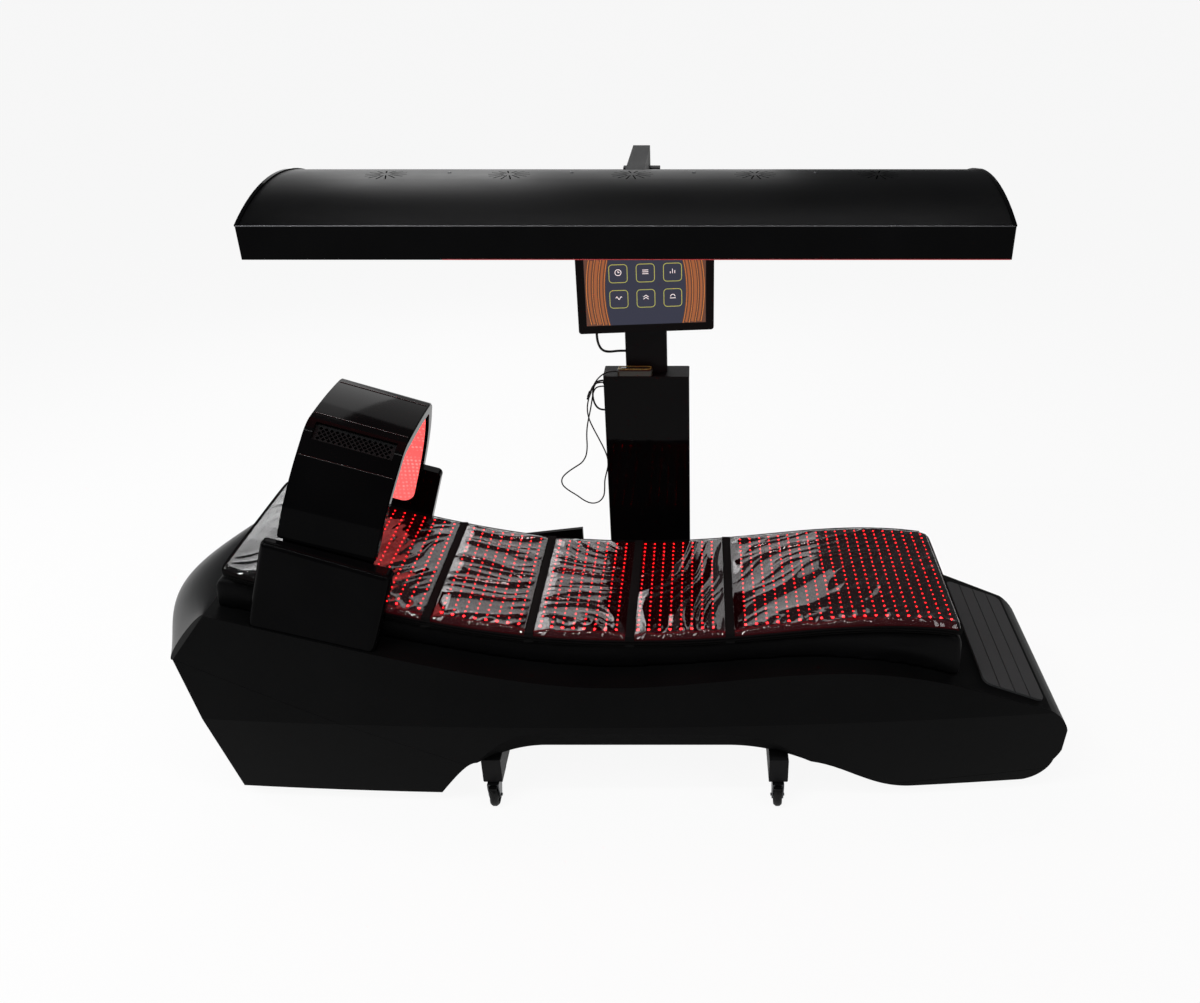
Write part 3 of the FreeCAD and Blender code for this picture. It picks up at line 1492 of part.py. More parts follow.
def make_canopy_cover(x, y, bottom):
    """Arched cover with an arm slot at the back and a row of sunburst vents."""
    half = s.canopy_depth / 2
    rise = s.cover_rise
    radius = half * half / (2 * rise) + rise / 2
    inner_radius = radius - s.cover_skin
    inner_half = root(inner_radius * inner_radius - (radius - rise) * (radius - rise))
    length = s.canopy_length - 2 * s.end_cap_thickness
    body = new_body("canopy_cover")
    section = new_sketch(body, "cover_section", "YZ_Plane")
    draw(section, [(half, 0, radius), (-half, 0), (-inner_half, 0, -inner_radius), (inner_half, 0)])
    pad(body, section, length, midplane=True)
    slot = new_sketch(body, "cover_slot", "XY_Plane", rise * 2)
    slot_half = s.arm_width / 2 + s.arm_slot_gap
    front = s.arm_slot_y - y
    back = half * PAST
    draw(slot, [(-slot_half, front), (slot_half, front), (slot_half, back), (-slot_half, back)])
    pocket(body, slot, rise * 3)
    slit = new_sketch(body, "vent_slit", "XY_Plane", rise * 2)
    first_vent = (1 - s.vent_count) / 2 * s.vent_pitch
    slit.AttachmentOffset = Placement(vec(first_vent, 0, rise * 2), Rotation())
    bind(slit, "AttachmentOffset.Base.x", first_vent)
    middle = (s.vent_radius + s.vent_hub) / 2
    draw(slit, rectangle((s.vent_radius - s.vent_hub) / 2, s.slit_width / 2, middle))
    cut_slit = pocket(body, slit, rise * 2)
    document.recompute()
    vents = body.newObject("PartDesign::MultiTransform", "vents")
    vents.Originals = [cut_slit]
    burst = body.newObject("PartDesign::PolarPattern", "vent_burst")
    burst.Axis = (slit, ["N_Axis"])
    burst.Angle = 360
    bind(burst, "Occurrences", s.slit_count)
    line = body.newObject("PartDesign::LinearPattern", "vent_row")
    line.Direction = (slit, ["H_Axis"])
    line.Mode = "Spacing"
    bind(line, "Offset", s.vent_pitch)
    bind(line, "Occurrences", s.vent_count)
    vents.Transformations = [burst, line]
    body.Tip = vents
    place(body, x, y, bottom)
    keep(body, "canopy_cover")
    caps = []
    for name, low in (("end_cap_head", -s.canopy_length / 2), ("end_cap_foot", length / 2)):
        cap = new_body(name)
        face = new_sketch(cap, f"{name}_face", "YZ_Plane", low)
        proud = s.end_cap_proud
        draw(face, [(half, 0), (half, proud, radius), (-half, proud), (-half, 0)])
        pad(cap, face, s.end_cap_thickness)
        caps.append(place(cap, x, y, bottom))
    keep(group("canopy_end_caps", *caps), "canopy_end_caps")


def make_canopy_inside(x, y, lip_top):
    """Diffuser on the apron's lip, lamp board on it, fans, and the hanger of the arm."""
    wall = s.apron_wall
    margin = s.board_margin
    length = s.canopy_length - 2 * wall - 2 * margin
    depth = s.canopy_depth - 2 * wall - 2 * margin
    pane = (length, depth, s.diffuser_thickness)
    keep(centred_box("canopy_diffuser", pane, x, y, lip_top), "canopy_diffuser")
    seat = lip_top + s.diffuser_thickness
    board = centred_box("board_block", (length, depth, s.board_rise + s.board_thickness), x, y, seat)
    room_size = (length - 2 * s.board_thickness, depth - 2 * s.board_thickness, s.board_rise)
    room = centred_box("board_room", room_size, x, y, seat)
    keep(cut("canopy_led_board", board, room), "canopy_led_board")
    board_top = seat + s.board_rise + s.board_thickness
    fans = []
    throat_radius = s.fan_side * 0.46
    hub_radius = s.fan_side * 0.2
    for index in range(int(float(s.vent_count))):
        vent_x = x + (index - (s.vent_count - 1) / 2) * s.vent_pitch
        name = f"fan_{index + 1}"
        frame = centred_box(f"{name}_frame", (s.fan_side, s.fan_side, s.fan_height), vent_x, y, board_top)
        throat = cylinder(f"{name}_throat", throat_radius, s.fan_height, (vent_x, y, board_top + wall))
        hub = cylinder(f"{name}_hub", hub_radius, s.fan_height - wall, (vent_x, y, board_top))
        fans.append(fuse(name, cut(f"{name}_ring", frame, throat), hub))
    keep(group("canopy_fans", *fans), "canopy_fans")
    rail_top = s.arm_bottom - s.hanger_plate
    pieces = []
    rail_length = s.canopy_length - 2 * wall
    for name, side in (("hanger_rail_front", -1), ("hanger_rail_rear", 1)):
        size = (rail_length, s.hanger_side, s.hanger_side)
        rail_y = y + side * s.hanger_offset - s.hanger_side / 2
        corner = (x - rail_length / 2, rail_y, rail_top - s.hanger_side)
        pieces.append(tube(name, size, s.arm_wall, corner, "X"))
    plate_depth = 2 * s.hanger_offset + s.hanger_side
    plate = (s.hanger_plate_length, plate_depth, s.hanger_plate)
    pieces.append(centred_box("hanger_cross_plate", plate, x, y, rail_top))
    keep(fuse("canopy_hanger", *pieces), "canopy_hanger")
    back = s.sleeve_y + s.sleeve_depth / 2
    corner = (x - s.arm_width / 2, s.arm_front_y, s.arm_bottom)
    size = (s.arm_width, back - s.arm_front_y, s.arm_height)
    body = box("arm_outer", size, corner)
    inner_size = (s.arm_width - 2 * s.arm_wall, size[1] - 2 * s.arm_wall, s.arm_height - 2 * s.arm_wall)
    inner_corner = (corner[0] + s.arm_wall, corner[1] + s.arm_wall, corner[2] + s.arm_wall)
    keep(cut("canopy_arm", body, box("arm_inner", inner_size, inner_corner)), "canopy_arm")


# Screen on its yoke

def screen_centre_height():
    return s.screen_bottom + s.screen_height / 2


def turned(item, x, y, z):
    """Place a piece drawn about the swivel axis, turned as the screen stands."""
    return place(item, x, y, z, Rotation(Z_AXIS, float(s.screen_turn)))


def make_screen():
    x = s.column_x
    height = screen_centre_height()
    reach = s.swivel_y - s.screen_y
    half = s.screen_thickness / 2
    body = new_body("screen_housing")
    outline = new_sketch(body, "screen_outline", "XZ_Plane", reach - half)
    draw(outline, rectangle(s.screen_width / 2, s.screen_height / 2))
    block = pad(body, outline, s.screen_thickness)
    round_edges(body, block, s.screen_round, along(Y_AXIS))
    window = new_sketch(body, "screen_window", "XZ_Plane", reach + half)
    draw(window, rectangle(s.screen_width / 2 - s.bezel, s.screen_height / 2 - s.bezel))
    pocket(body, window, s.glass_thickness)
    lug_root = s.swivel_y - s.tilt_y
    span = s.tilt_lug_half_span
    for name, side in (("left", -1), ("right", 1)):
        low = side * span - s.lug_thickness / 2
        lug = new_sketch(body, f"lug_{name}", "YZ_Plane", low)
        back = -(reach - half)
        draw(lug, [
            (-lug_root + s.lug_radius, -s.lug_radius),
            (-lug_root + s.lug_radius, s.lug_radius),
            (back - s.lug_bite, s.lug_radius * 2),
            (back - s.lug_bite, -s.lug_radius * 2),
        ])
        pad(body, lug, s.lug_thickness)
        hole = new_sketch(body, f"lug_hole_{name}", "YZ_Plane", low)
        circle(hole, -lug_root, 0, s.tilt_pin_radius + s.pivot_clearance)
        pocket(body, hole, s.lug_thickness, backward=True)
    keep(turned(body, x, s.swivel_y, height), "screen_housing")
    glass = new_body("screen_glass")
    pane = new_sketch(glass, "glass_outline", "XZ_Plane", reach + half - s.glass_thickness)
    gap = s.running_gap
    draw(pane, rectangle(s.screen_width / 2 - s.bezel - gap, s.screen_height / 2 - s.bezel - gap))
    pad(glass, pane, s.glass_thickness)
    keep(turned(glass, x, s.swivel_y, height), "screen_glass")
    make_yoke(x, height, lug_root, span)
    make_screen_bracket(x, height)


def make_yoke(x, height, lug_root, span):
    """Block on the swivel pin with a tongue and a cross pin for the screen's lugs."""
    yoke = new_body("screen_yoke")
    hub = new_sketch(yoke, "yoke_hub", "XY_Plane", -s.yoke_height / 2)
    circle(hub, 0, 0, s.swivel_radius)
    pad(yoke, hub, s.yoke_height)
    tongue_half = span - s.lug_thickness / 2 - s.running_gap
    tongue = new_sketch(yoke, "yoke_tongue", "XY_Plane", -s.lug_radius)
    reach = lug_root + s.tilt_pin_radius * 2
    neck = s.swivel_radius / 2
    draw(tongue, [(-tongue_half, -reach), (tongue_half, -reach), (neck, 0), (-neck, 0)])
    pad(yoke, tongue, 2 * s.lug_radius)
    cross = new_sketch(yoke, "yoke_pin", "YZ_Plane")
    circle(cross, -lug_root, 0, s.tilt_pin_radius)
    pad(yoke, cross, 2 * (span + s.lug_thickness), midplane=True)
    bore = new_sketch(yoke, "yoke_bore", "XY_Plane", -s.yoke_height / 2)
    circle(bore, 0, 0, s.swivel_pin_radius + s.pivot_clearance)
    pocket(yoke, bore, s.yoke_height, backward=True)
    keep(turned(yoke, x, s.swivel_y, height), "screen_yoke")


def make_screen_bracket(x, height):
    """Plate on the sleeve with two ears and the swivel pin between them."""
    face = s.sleeve_y - s.sleeve_depth / 2
    size = (s.vesa_side, s.vesa_plate, s.vesa_side)
    pieces = [centred_box("bracket_plate", size, x, face - s.vesa_plate / 2, height - s.vesa_side / 2)]
    ear_gap = s.yoke_height / 2 + s.running_gap
    for name, low in (("ear_upper", ear_gap), ("ear_lower", -ear_gap - s.ear_thickness)):
        depth = face - s.swivel_y
        corner = (x - s.swivel_radius, s.swivel_y, height + low)
        pieces.append(box(f"{name}_arm", (2 * s.swivel_radius, depth, s.ear_thickness), corner))
        end = (x, s.swivel_y, height + low)
        pieces.append(cylinder(f"{name}_round", s.swivel_radius, s.ear_thickness, end))
    pin = 2 * (ear_gap + s.ear_thickness)
    pieces.append(cylinder("swivel_pin", s.swivel_pin_radius, pin, (x, s.swivel_y, height - pin / 2)))
    keep(fuse("screen_bracket", *pieces), "screen_bracket")


# Handset and leads

def make_handset():
    body = new_body("handset")
    outline = new_sketch(body, "handset_outline", "XY_Plane")
    draw(outline, rectangle(s.handset_length / 2, s.handset_depth / 2))
    block = pad(body, outline, s.handset_height)
    corner = round_edges(body, block, s.handset_round * 1.5, along(Z_AXIS))
    top = s.handset_height
    round_edges(body, corner, s.handset_round, lambda edge: abs(edge.BoundBox.ZMin - float(top)) < NEAR)
    keep(place(body, s.handset_x, s.handset_y, s.column_top), "handset")


# Where the leads start and end, and the bends between: first along the handset's lead,
# which hangs in a long loop beside the column
HANDSET_END = (float(s.handset_x - s.handset_length / 2), float(s.handset_y),
               float(s.column_top + s.handset_height / 2))
GROMMET_X = float(s.column_x - s.column_width / 2 - s.grommet_proud)
SLEEVE_X = float(s.column_x - s.sleeve_width / 2)
HANDSET_LEAD = [
    HANDSET_END, (-43, 314, 1011), (-65, 312, 1002), (-83, 310, 984), (-97, 306, 958), (-107, 301, 930),
    (-112, 296, 902), (-108, 292, 873), (-96, 289, 844), (-81, 287, 812), (-67, 286, 780), (-58, 286, 752),
    (-57, 286, 727), (-63, 286, 702), (-70, 286, 676), (-71, 286, 648), (-74, 285, 622), (-89, 284, 603),
    (-111, 283, 598), (-133, 282, 608), (-155, 281, 628), (-179, 280, 645), (-197, 279, 664),
    (-197, 278, 687), (-179, 278, 706), (-155, 279, 723), (-133, 280, 737), (-120, 283, 758),
    (-116, 287, 786), (-117, 292, 816), (-115, 300, 845), (-109, 309, 872), (-103, 318, 897),
    (-99, 326, 920), (-95, 331, 941), (-84, 334, 957), (GROMMET_X, 334, 957),
]
SIDE_LEAD = [
    (GROMMET_X, 346, 970), (-78, 346, 970), (-90, 346, 960), (-97, 346, 943), (-99, 346, 924),
    (-97, 346, 905), (-90, 346, 888), (-78, 346, 878), (GROMMET_X, 346, 878),
]
PIGTAIL_LEAD = [
    (GROMMET_X, 318, 975), (-76, 318, 975), (-88, 318, 970), (-97, 318, 960), (-102, 318, 947),
]
SCREEN_CABLE = [
    (-67, 240, float(s.screen_bottom)), (-67, 240, 1137), (-66, 252, 1118), (-63, 266, 1101),
    (-59, 283, 1087), (-53, 301, 1076), (-44, 318, 1068), (-33, 334, 1063), (-18, 345, 1061),
    (SLEEVE_X, 345, 1061),
]


def lead_path(points):
    """Straight runs joined by arcs as large as the runs allow."""
    corners = [Vector(*point) for point in points]
    edges = []
    radii = []
    start = corners[0]
    for before, corner, after in zip(corners, corners[1:], corners[2:]):
        into = (corner - before).normalize()
        out = (after - corner).normalize()
        turn = into.getAngle(out)
        tangent = ARC_SHARE * min((corner - before).Length, (after - corner).Length)
        radius = tangent / math.tan(turn / 2)
        radii.append(radius)
        first = corner - into * tangent
        last = corner + out * tangent
        inward = (out - into).normalize()
        middle = corner + inward * (radius / math.cos(turn / 2) - radius)
        edges.append(Part.makeLine(start, first))
        edges.append(Part.Arc(first, middle, last).toShape())
        start = last
    edges.append(Part.makeLine(start, corners[-1]))
    return Part.Wire(edges), radii


def make_lead(name, points, diameter):
    path, radii = lead_path(points)
    start = Vector(*points[0])
    direction = Vector(*points[1]) - start
    radius = float(diameter) / 2
    profile = Part.Wire([Part.makeCircle(radius, start, direction)])
    lead = path.makePipeShell([profile], True, False)
    expected = math.pi * radius ** 2 * path.Length
    print(name, "length", round(path.Length), "tightest arc", round(min(radii), 1),
          "volume ratio", round(lead.Volume / expected, 4))
    keep(feature(name, lead), name)


def make_leads():
    make_lead("handset_lead", HANDSET_LEAD, s.handset_lead_diameter)
    make_lead("side_lead", SIDE_LEAD, s.side_lead_diameter)
    make_lead("pigtail_lead", PIGTAIL_LEAD, s.handset_lead_diameter)
    make_lead("screen_cable", SCREEN_CABLE, s.screen_cable_diameter)
    end = Vector(*PIGTAIL_LEAD[-1])
    direction = (end - Vector(*PIGTAIL_LEAD[-2])).normalize()
    plug_radius = float(s.plug_diameter) / 2
    tip_share = 0.7
    shell = Part.makeCylinder(plug_radius, float(s.plug_length) * tip_share, end, direction)
    tip = Part.makeCylinder(plug_radius * tip_share, float(s.plug_length), end, direction)
    keep(feature("pigtail_plug", shell.fuse(tip)), "pigtail_plug")
    make_grommets()


def make_grommets():
    """Round lips on the column's side where the leads go in."""
    face = s.column_x - s.column_width / 2
    grommets = []
    seats = (
        ("handset_lead", HANDSET_LEAD[-1], s.handset_lead_diameter),
        ("side_upper", SIDE_LEAD[0], s.side_lead_diameter),
        ("side_lower", SIDE_LEAD[-1], s.side_lead_diameter),
        ("pigtail", PIGTAIL_LEAD[0], s.handset_lead_diameter),
    )
    for name, (_, y, z), diameter in seats:
        radius = diameter / 2 + s.grommet_wall
        mouth = (face - s.grommet_proud, y, z)
        grommets.append(cylinder(f"grommet_{name}", radius, s.grommet_proud, mouth, "X"))
    keep(group("cable_grommets", *grommets), "cable_grommets")


def build():
    make_shell()
    make_head_end_cap()
    make_foot_plate()
    cushion = make_cushion()
    mat = make_mat(cushion)
    make_straps(mat)
    make_chassis()
    make_beams()
    make_castors()
    make_brake_pedals()
    make_hood()
    make_pods()
    make_rear_wing()
    make_column()
    make_mast()
    make_canopy()
    make_screen()
    make_handset()
    make_leads()
    document.recompute()


def export():
    for item in document.Objects:
        if "Invalid" in item.State or "Error" in item.State:
            raise RuntimeError(f"{item.Label} did not build: {item.State}")
    for name, item in subparts.items():
        if item.Shape.isNull() or not item.Shape.isValid():
            raise RuntimeError(f"{name} has no valid shape")
    os.makedirs("parts", exist_ok=True)
    for name, item in subparts.items():
        item.Shape.exportStep(f"parts/{name}.step")
    print(len(subparts), "sub-parts")


build()
export()
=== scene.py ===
import bpy
import math
from mathutils import Matrix, Vector, noise
from mathutils.bvhtree import BVHTree


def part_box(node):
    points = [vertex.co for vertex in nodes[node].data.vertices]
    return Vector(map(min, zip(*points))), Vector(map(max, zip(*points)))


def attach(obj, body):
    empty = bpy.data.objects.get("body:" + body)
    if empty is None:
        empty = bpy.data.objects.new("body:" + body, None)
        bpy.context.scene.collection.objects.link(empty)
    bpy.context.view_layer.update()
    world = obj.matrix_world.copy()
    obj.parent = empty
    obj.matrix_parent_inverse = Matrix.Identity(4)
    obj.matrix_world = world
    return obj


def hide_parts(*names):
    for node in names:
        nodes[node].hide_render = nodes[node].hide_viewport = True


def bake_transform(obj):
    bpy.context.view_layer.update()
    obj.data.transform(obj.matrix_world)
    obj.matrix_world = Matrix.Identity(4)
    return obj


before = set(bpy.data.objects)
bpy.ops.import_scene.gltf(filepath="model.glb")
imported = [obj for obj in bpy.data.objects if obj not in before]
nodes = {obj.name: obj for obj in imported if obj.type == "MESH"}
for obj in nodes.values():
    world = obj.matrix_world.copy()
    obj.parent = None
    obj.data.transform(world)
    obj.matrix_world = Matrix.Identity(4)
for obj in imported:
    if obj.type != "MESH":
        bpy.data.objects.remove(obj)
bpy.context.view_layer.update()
scene = bpy.context.scene
scene.view_settings.view_transform = "Standard"

# The bed's middle line across
AXIS_Y = -0.0525


# Camera, floor and light

CAMERA_PLACE = (0.214, -2.4425, 2.085)
CAMERA_PITCH = math.radians(61.5)
LENS, SENSOR = 30.9, 36
SHIFT_X = -0.0833
FAR_END = 100

# Each lamp panel: its place, the point it faces, its two sides, and its power in watts
PANELS = {
    "key": ((-2.2, -2.6, 4.2), (0, 0, 0.6), (2.4, 1.6), 64),
    "fill": ((3.4, -2.2, 3.0), (0.3, 0, 0.6), (2.0, 2.0), 40),
    "back_panel": ((-1.0, 3.4, 2.1), (-0.6, 0, 0.6), (3.4, 2.2), 24),
    "head_panel": ((-1.3, 3.3, 2.95), (-0.8, 0, 0.8), (1.1, 1.5), 11),
    "head_strip": ((-3.6, 0.4, 2.2), (-0.9, 0, 0.6), (0.5, 2.4), 30),
    "front_strip": ((-0.9, -1.5, 3.6), (-0.9, -0.2, 0.6), (4.6, 0.07), 44),
    "top_strip": ((0, 1.3, 4.4), (0, 0, 0.5), (3.4, 0.1), 24),
}
WORLD_TINT = (0.9, 0.92, 0.95, 1)
WORLD_STRENGTH = 0.1
FLOOR_HALF = 60
FLOOR_WHITE = (0.93, 0.93, 0.93, 1)
FLOOR_GLOW_SHARE = 0.92


def add_object(name, data):
    piece = bpy.data.objects.new(name, data)
    scene.collection.objects.link(piece)
    return piece


def make_camera():
    data = bpy.data.cameras.new("camera")
    data.sensor_width = SENSOR
    data.lens = LENS
    data.shift_x = SHIFT_X
    data.clip_end = FAR_END
    camera = add_object("camera", data)
    camera.location = CAMERA_PLACE
    camera.rotation_euler = (CAMERA_PITCH, 0, 0)
    scene.camera = camera


def area_light(name, place, target, sides, power):
    data = bpy.data.lights.new(name, "AREA")
    data.shape = "RECTANGLE"
    data.size, data.size_y = sides
    data.energy = power
    lamp = add_object(name, data)
    lamp.location = place
    aim = Vector(target) - Vector(place)
    lamp.rotation_euler = aim.to_track_quat("-Z", "Y").to_euler()


def make_light():
    for name, (place, target, sides, power) in PANELS.items():
        area_light(name, place, target, sides, power)
    world = bpy.data.worlds.new("world")
    scene.world = world
    world.use_nodes = True
    back = world.node_tree.nodes["Background"]
    back.inputs["Color"].default_value = WORLD_TINT
    back.inputs["Strength"].default_value = WORLD_STRENGTH


def math_node(tree, operation, first, second):
    """A math node on one socket, and on another socket or a plain number."""
    node = tree.nodes.new("ShaderNodeMath")
    node.operation = operation
    tree.links.new(first, node.inputs[0])
    if isinstance(second, float):
        node.inputs[1].default_value = second
    else:
        tree.links.new(second, node.inputs[1])
    return node.outputs[0]


def make_floor():
    """A floor that is mostly its own glow to the camera and in reflections, and white to other light."""
    mesh = bpy.data.meshes.new("floor")
    corners = [(-FLOOR_HALF, -FLOOR_HALF, 0), (FLOOR_HALF, -FLOOR_HALF, 0),
               (FLOOR_HALF, FLOOR_HALF, 0), (-FLOOR_HALF, FLOOR_HALF, 0)]
    mesh.from_pydata(corners, [], [(0, 1, 2, 3)])
    floor = add_object("floor", mesh)
    material = bpy.data.materials.new("floor")
    material.use_nodes = True
    tree = material.node_tree
    tree.nodes.clear()
    out = tree.nodes.new("ShaderNodeOutputMaterial")
    diffuse = tree.nodes.new("ShaderNodeBsdfDiffuse")
    diffuse.inputs["Color"].default_value = FLOOR_WHITE
    glow = tree.nodes.new("ShaderNodeEmission")
    glow.inputs["Color"].default_value = (1, 1, 1, 1)
    glow.inputs["Strength"].default_value = 1
    path = tree.nodes.new("ShaderNodeLightPath")
    seen = math_node(tree, "MAXIMUM", path.outputs["Is Camera Ray"], path.outputs["Is Glossy Ray"])
    clear = math_node(tree, "MAXIMUM", seen, path.outputs["Is Transmission Ray"])
    share = math_node(tree, "MULTIPLY", clear, FLOOR_GLOW_SHARE)
    mix = tree.nodes.new("ShaderNodeMixShader")
    tree.links.new(share, mix.inputs[0])
    tree.links.new(diffuse.outputs[0], mix.inputs[1])
    tree.links.new(glow.outputs[0], mix.inputs[2])
    tree.links.new(mix.outputs[0], out.inputs["Surface"])
    floor.data.materials.append(material)


# Materials

TONE_SPREAD, TONE_LIFT = 2.5, 0.002
WORN_GAIN, WORN_LIFT = 2.2, 0.05
SMOOTHER, ROUGHER = 0.8, 1.25
LEAST_ROUGHNESS = 0.02
COAT_ROUGHNESS = 0.04

# Length of one band of the wave texture at a scale of 1
WAVE_LENGTH = 0.314


def surface(name, colour, rough, *, grain=0.0, grain_scale=400.0, vary=0.06, metal=0.0, coat=0.0,
            specular=0.5, glow=None, glow_strength=0.0, wear=0.0):
    """A procedural finish: colour and roughness that vary a little, and a fine grain in relief."""
    material = bpy.data.materials.new(name)
    material.use_nodes = True
    tree = material.node_tree
    shader = tree.nodes["Principled BSDF"]
    shader.inputs["Metallic"].default_value = metal
    shader.inputs["Coat Weight"].default_value = coat
    shader.inputs["Coat Roughness"].default_value = COAT_ROUGHNESS
    shader.inputs["Specular IOR Level"].default_value = specular
    place = tree.nodes.new("ShaderNodeTexCoord")
    broad = tree.nodes.new("ShaderNodeTexNoise")
    broad.inputs["Scale"].default_value = 6
    broad.inputs["Detail"].default_value = 5
    tree.links.new(place.outputs["Object"], broad.inputs["Vector"])
    tone = tree.nodes.new("ShaderNodeValToRGB")
    low = [max(0.0, c * (1 - TONE_SPREAD * vary)) for c in colour]
    high = [min(1.0, c * (1 + TONE_SPREAD * vary) + TONE_LIFT) for c in colour]
    tone.color_ramp.elements[0].color = (*low, 1)
    tone.color_ramp.elements[1].color = (*high, 1)
    tree.links.new(broad.outputs["Fac"], tone.inputs["Fac"])
    colour_out = tone.outputs["Color"]
    if wear:
        geometry = tree.nodes.new("ShaderNodeNewGeometry")
        edge = tree.nodes.new("ShaderNodeMapRange")
        edge.inputs["From Min"].default_value = 0.53
        edge.inputs["From Max"].default_value = 0.62
        edge.inputs["To Max"].default_value = wear
        tree.links.new(geometry.outputs["Pointiness"], edge.inputs["Value"])
        blend = tree.nodes.new("ShaderNodeMix")
        blend.data_type = "RGBA"
        tree.links.new(edge.outputs["Result"], blend.inputs["Factor"])
        tree.links.new(colour_out, blend.inputs["A"])
        blend.inputs["B"].default_value = (*[min(1, c * WORN_GAIN + WORN_LIFT) for c in colour], 1)
        colour_out = blend.outputs["Result"]
    tree.links.new(colour_out, shader.inputs["Base Color"])
    smear = tree.nodes.new("ShaderNodeMapRange")
    smear.inputs["To Min"].default_value = max(LEAST_ROUGHNESS, rough * SMOOTHER)
    smear.inputs["To Max"].default_value = min(1.0, rough * ROUGHER)
    tree.links.new(broad.outputs["Fac"], smear.inputs["Value"])
    tree.links.new(smear.outputs["Result"], shader.inputs["Roughness"])
    if grain:
        fine = tree.nodes.new("ShaderNodeTexNoise")
        fine.inputs["Scale"].default_value = grain_scale
        fine.inputs["Detail"].default_value = 3
        tree.links.new(place.outputs["Object"], fine.inputs["Vector"])
        bump = tree.nodes.new("ShaderNodeBump")
        bump.inputs["Strength"].default_value = grain
        bump.inputs["Distance"].default_value = 0.0006
        tree.links.new(fine.outputs["Fac"], bump.inputs["Height"])
        tree.links.new(bump.outputs["Normal"], shader.inputs["Normal"])
    if glow:
        shader.inputs["Emission Color"].default_value = (*glow, 1)
        shader.inputs["Emission Strength"].default_value = glow_strength
    return material


def leather(name, colour):
    """Leatherette: pebbled cells with fine creases between them."""
    material = surface(name, colour, 0.42, vary=0.1, specular=0.04)
    tree = material.node_tree
    shader = tree.nodes["Principled BSDF"]
    place = tree.nodes.new("ShaderNodeTexCoord")
    cells = tree.nodes.new("ShaderNodeTexVoronoi")
    cells.feature = "DISTANCE_TO_EDGE"
    cells.inputs["Scale"].default_value = 420
    tree.links.new(place.outputs["Object"], cells.inputs["Vector"])
    bump = tree.nodes.new("ShaderNodeBump")
    bump.inputs["Strength"].default_value = 0.35
    bump.inputs["Distance"].default_value = 0.0008
    tree.links.new(cells.outputs["Distance"], bump.inputs["Height"])
    tree.links.new(bump.outputs["Normal"], shader.inputs["Normal"])
    return material


def woven(name, colour, pitch, glow=None):
    """Woven cloth or mesh: two crossed sets of threads in relief."""
    material = surface(name, colour, 0.8, vary=0.1, specular=0.03, glow=glow, glow_strength=1)
    tree = material.node_tree
    shader = tree.nodes["Principled BSDF"]
    place = tree.nodes.new("ShaderNodeTexCoord")
    relief = []
    for direction in ("X", "Y"):
        threads = tree.nodes.new("ShaderNodeTexWave")
        threads.bands_direction = direction
        threads.inputs["Scale"].default_value = WAVE_LENGTH / pitch
        threads.inputs["Distortion"].default_value = 0.3
        tree.links.new(place.outputs["Object"], threads.inputs["Vector"])
        relief.append(threads.outputs["Fac"])
    cross = math_node(tree, "MULTIPLY", relief[0], relief[1])
    bump = tree.nodes.new("ShaderNodeBump")
    bump.inputs["Strength"].default_value = 0.6
    bump.inputs["Distance"].default_value = 0.0008
    tree.links.new(cross, bump.inputs["Height"])
    tree.links.new(bump.outputs["Normal"], shader.inputs["Normal"])
    return material


def clear_film(name):
    """Clear soft vinyl, a little smeared, with fine ripples between its folds."""
    material = bpy.data.materials.new(name)
    material.use_nodes = True
    tree = material.node_tree
    shader = tree.nodes["Principled BSDF"]
    shader.inputs["Base Color"].default_value = (0.96, 0.96, 0.97, 1)
    shader.inputs["Transmission Weight"].default_value = 1
    shader.inputs["IOR"].default_value = 1.42
    place = tree.nodes.new("ShaderNodeTexCoord")
    smear = tree.nodes.new("ShaderNodeTexNoise")
    smear.inputs["Scale"].default_value = 14
    tree.links.new(place.outputs["Object"], smear.inputs["Vector"])
    spread = tree.nodes.new("ShaderNodeMapRange")
    spread.inputs["To Min"].default_value = 0.02
    spread.inputs["To Max"].default_value = 0.07
    tree.links.new(smear.outputs["Fac"], spread.inputs["Value"])
    tree.links.new(spread.outputs["Result"], shader.inputs["Roughness"])
    ripple = tree.nodes.new("ShaderNodeTexNoise")
    ripple.inputs["Scale"].default_value = 16
    ripple.inputs["Detail"].default_value = 2
    tree.links.new(place.outputs["Object"], ripple.inputs["Vector"])
    bump = tree.nodes.new("ShaderNodeBump")
    bump.inputs["Strength"].default_value = 0.15
    bump.inputs["Distance"].default_value = 0.003
    tree.links.new(ripple.outputs["Fac"], bump.inputs["Height"])
    tree.links.new(bump.outputs["Normal"], shader.inputs["Normal"])
    return material


BLACK = (0.0012, 0.0012, 0.0014)
GLOSS = surface("gloss_black", BLACK, 0.06, grain=0.03, grain_scale=90, specular=0.025)
COLUMN = surface("column_gloss", BLACK, 0.04, vary=0.02, specular=0.06)
CANOPY = surface("canopy_gloss", BLACK, 0.34, grain=0.02, grain_scale=90, specular=0.04)
BEAD = surface("gloss_bead", BLACK, 0.12, vary=0.02, specular=0.6)
SATIN = surface("satin_shell", (0.0022, 0.0023, 0.0024), 0.4, grain=0.2, grain_scale=1500, specular=0.025)
SATIN_END = surface("satin_end", (0.003, 0.003, 0.0032), 0.3, grain=0.2, grain_scale=1500, specular=0.2)
RUBBER_GREY = surface("step_rubber", (0.036, 0.037, 0.038), 0.55, grain=0.5, grain_scale=900,
                      specular=0.3)
POWDER = surface("powder_coat", (0.003, 0.003, 0.0034), 0.45, grain=0.4, grain_scale=1800, specular=0.06,
                 wear=0.1)
PLASTIC = surface("black_plastic", (0.0025, 0.0025, 0.0027), 0.35, grain=0.3, grain_scale=1200,
                  specular=0.06)
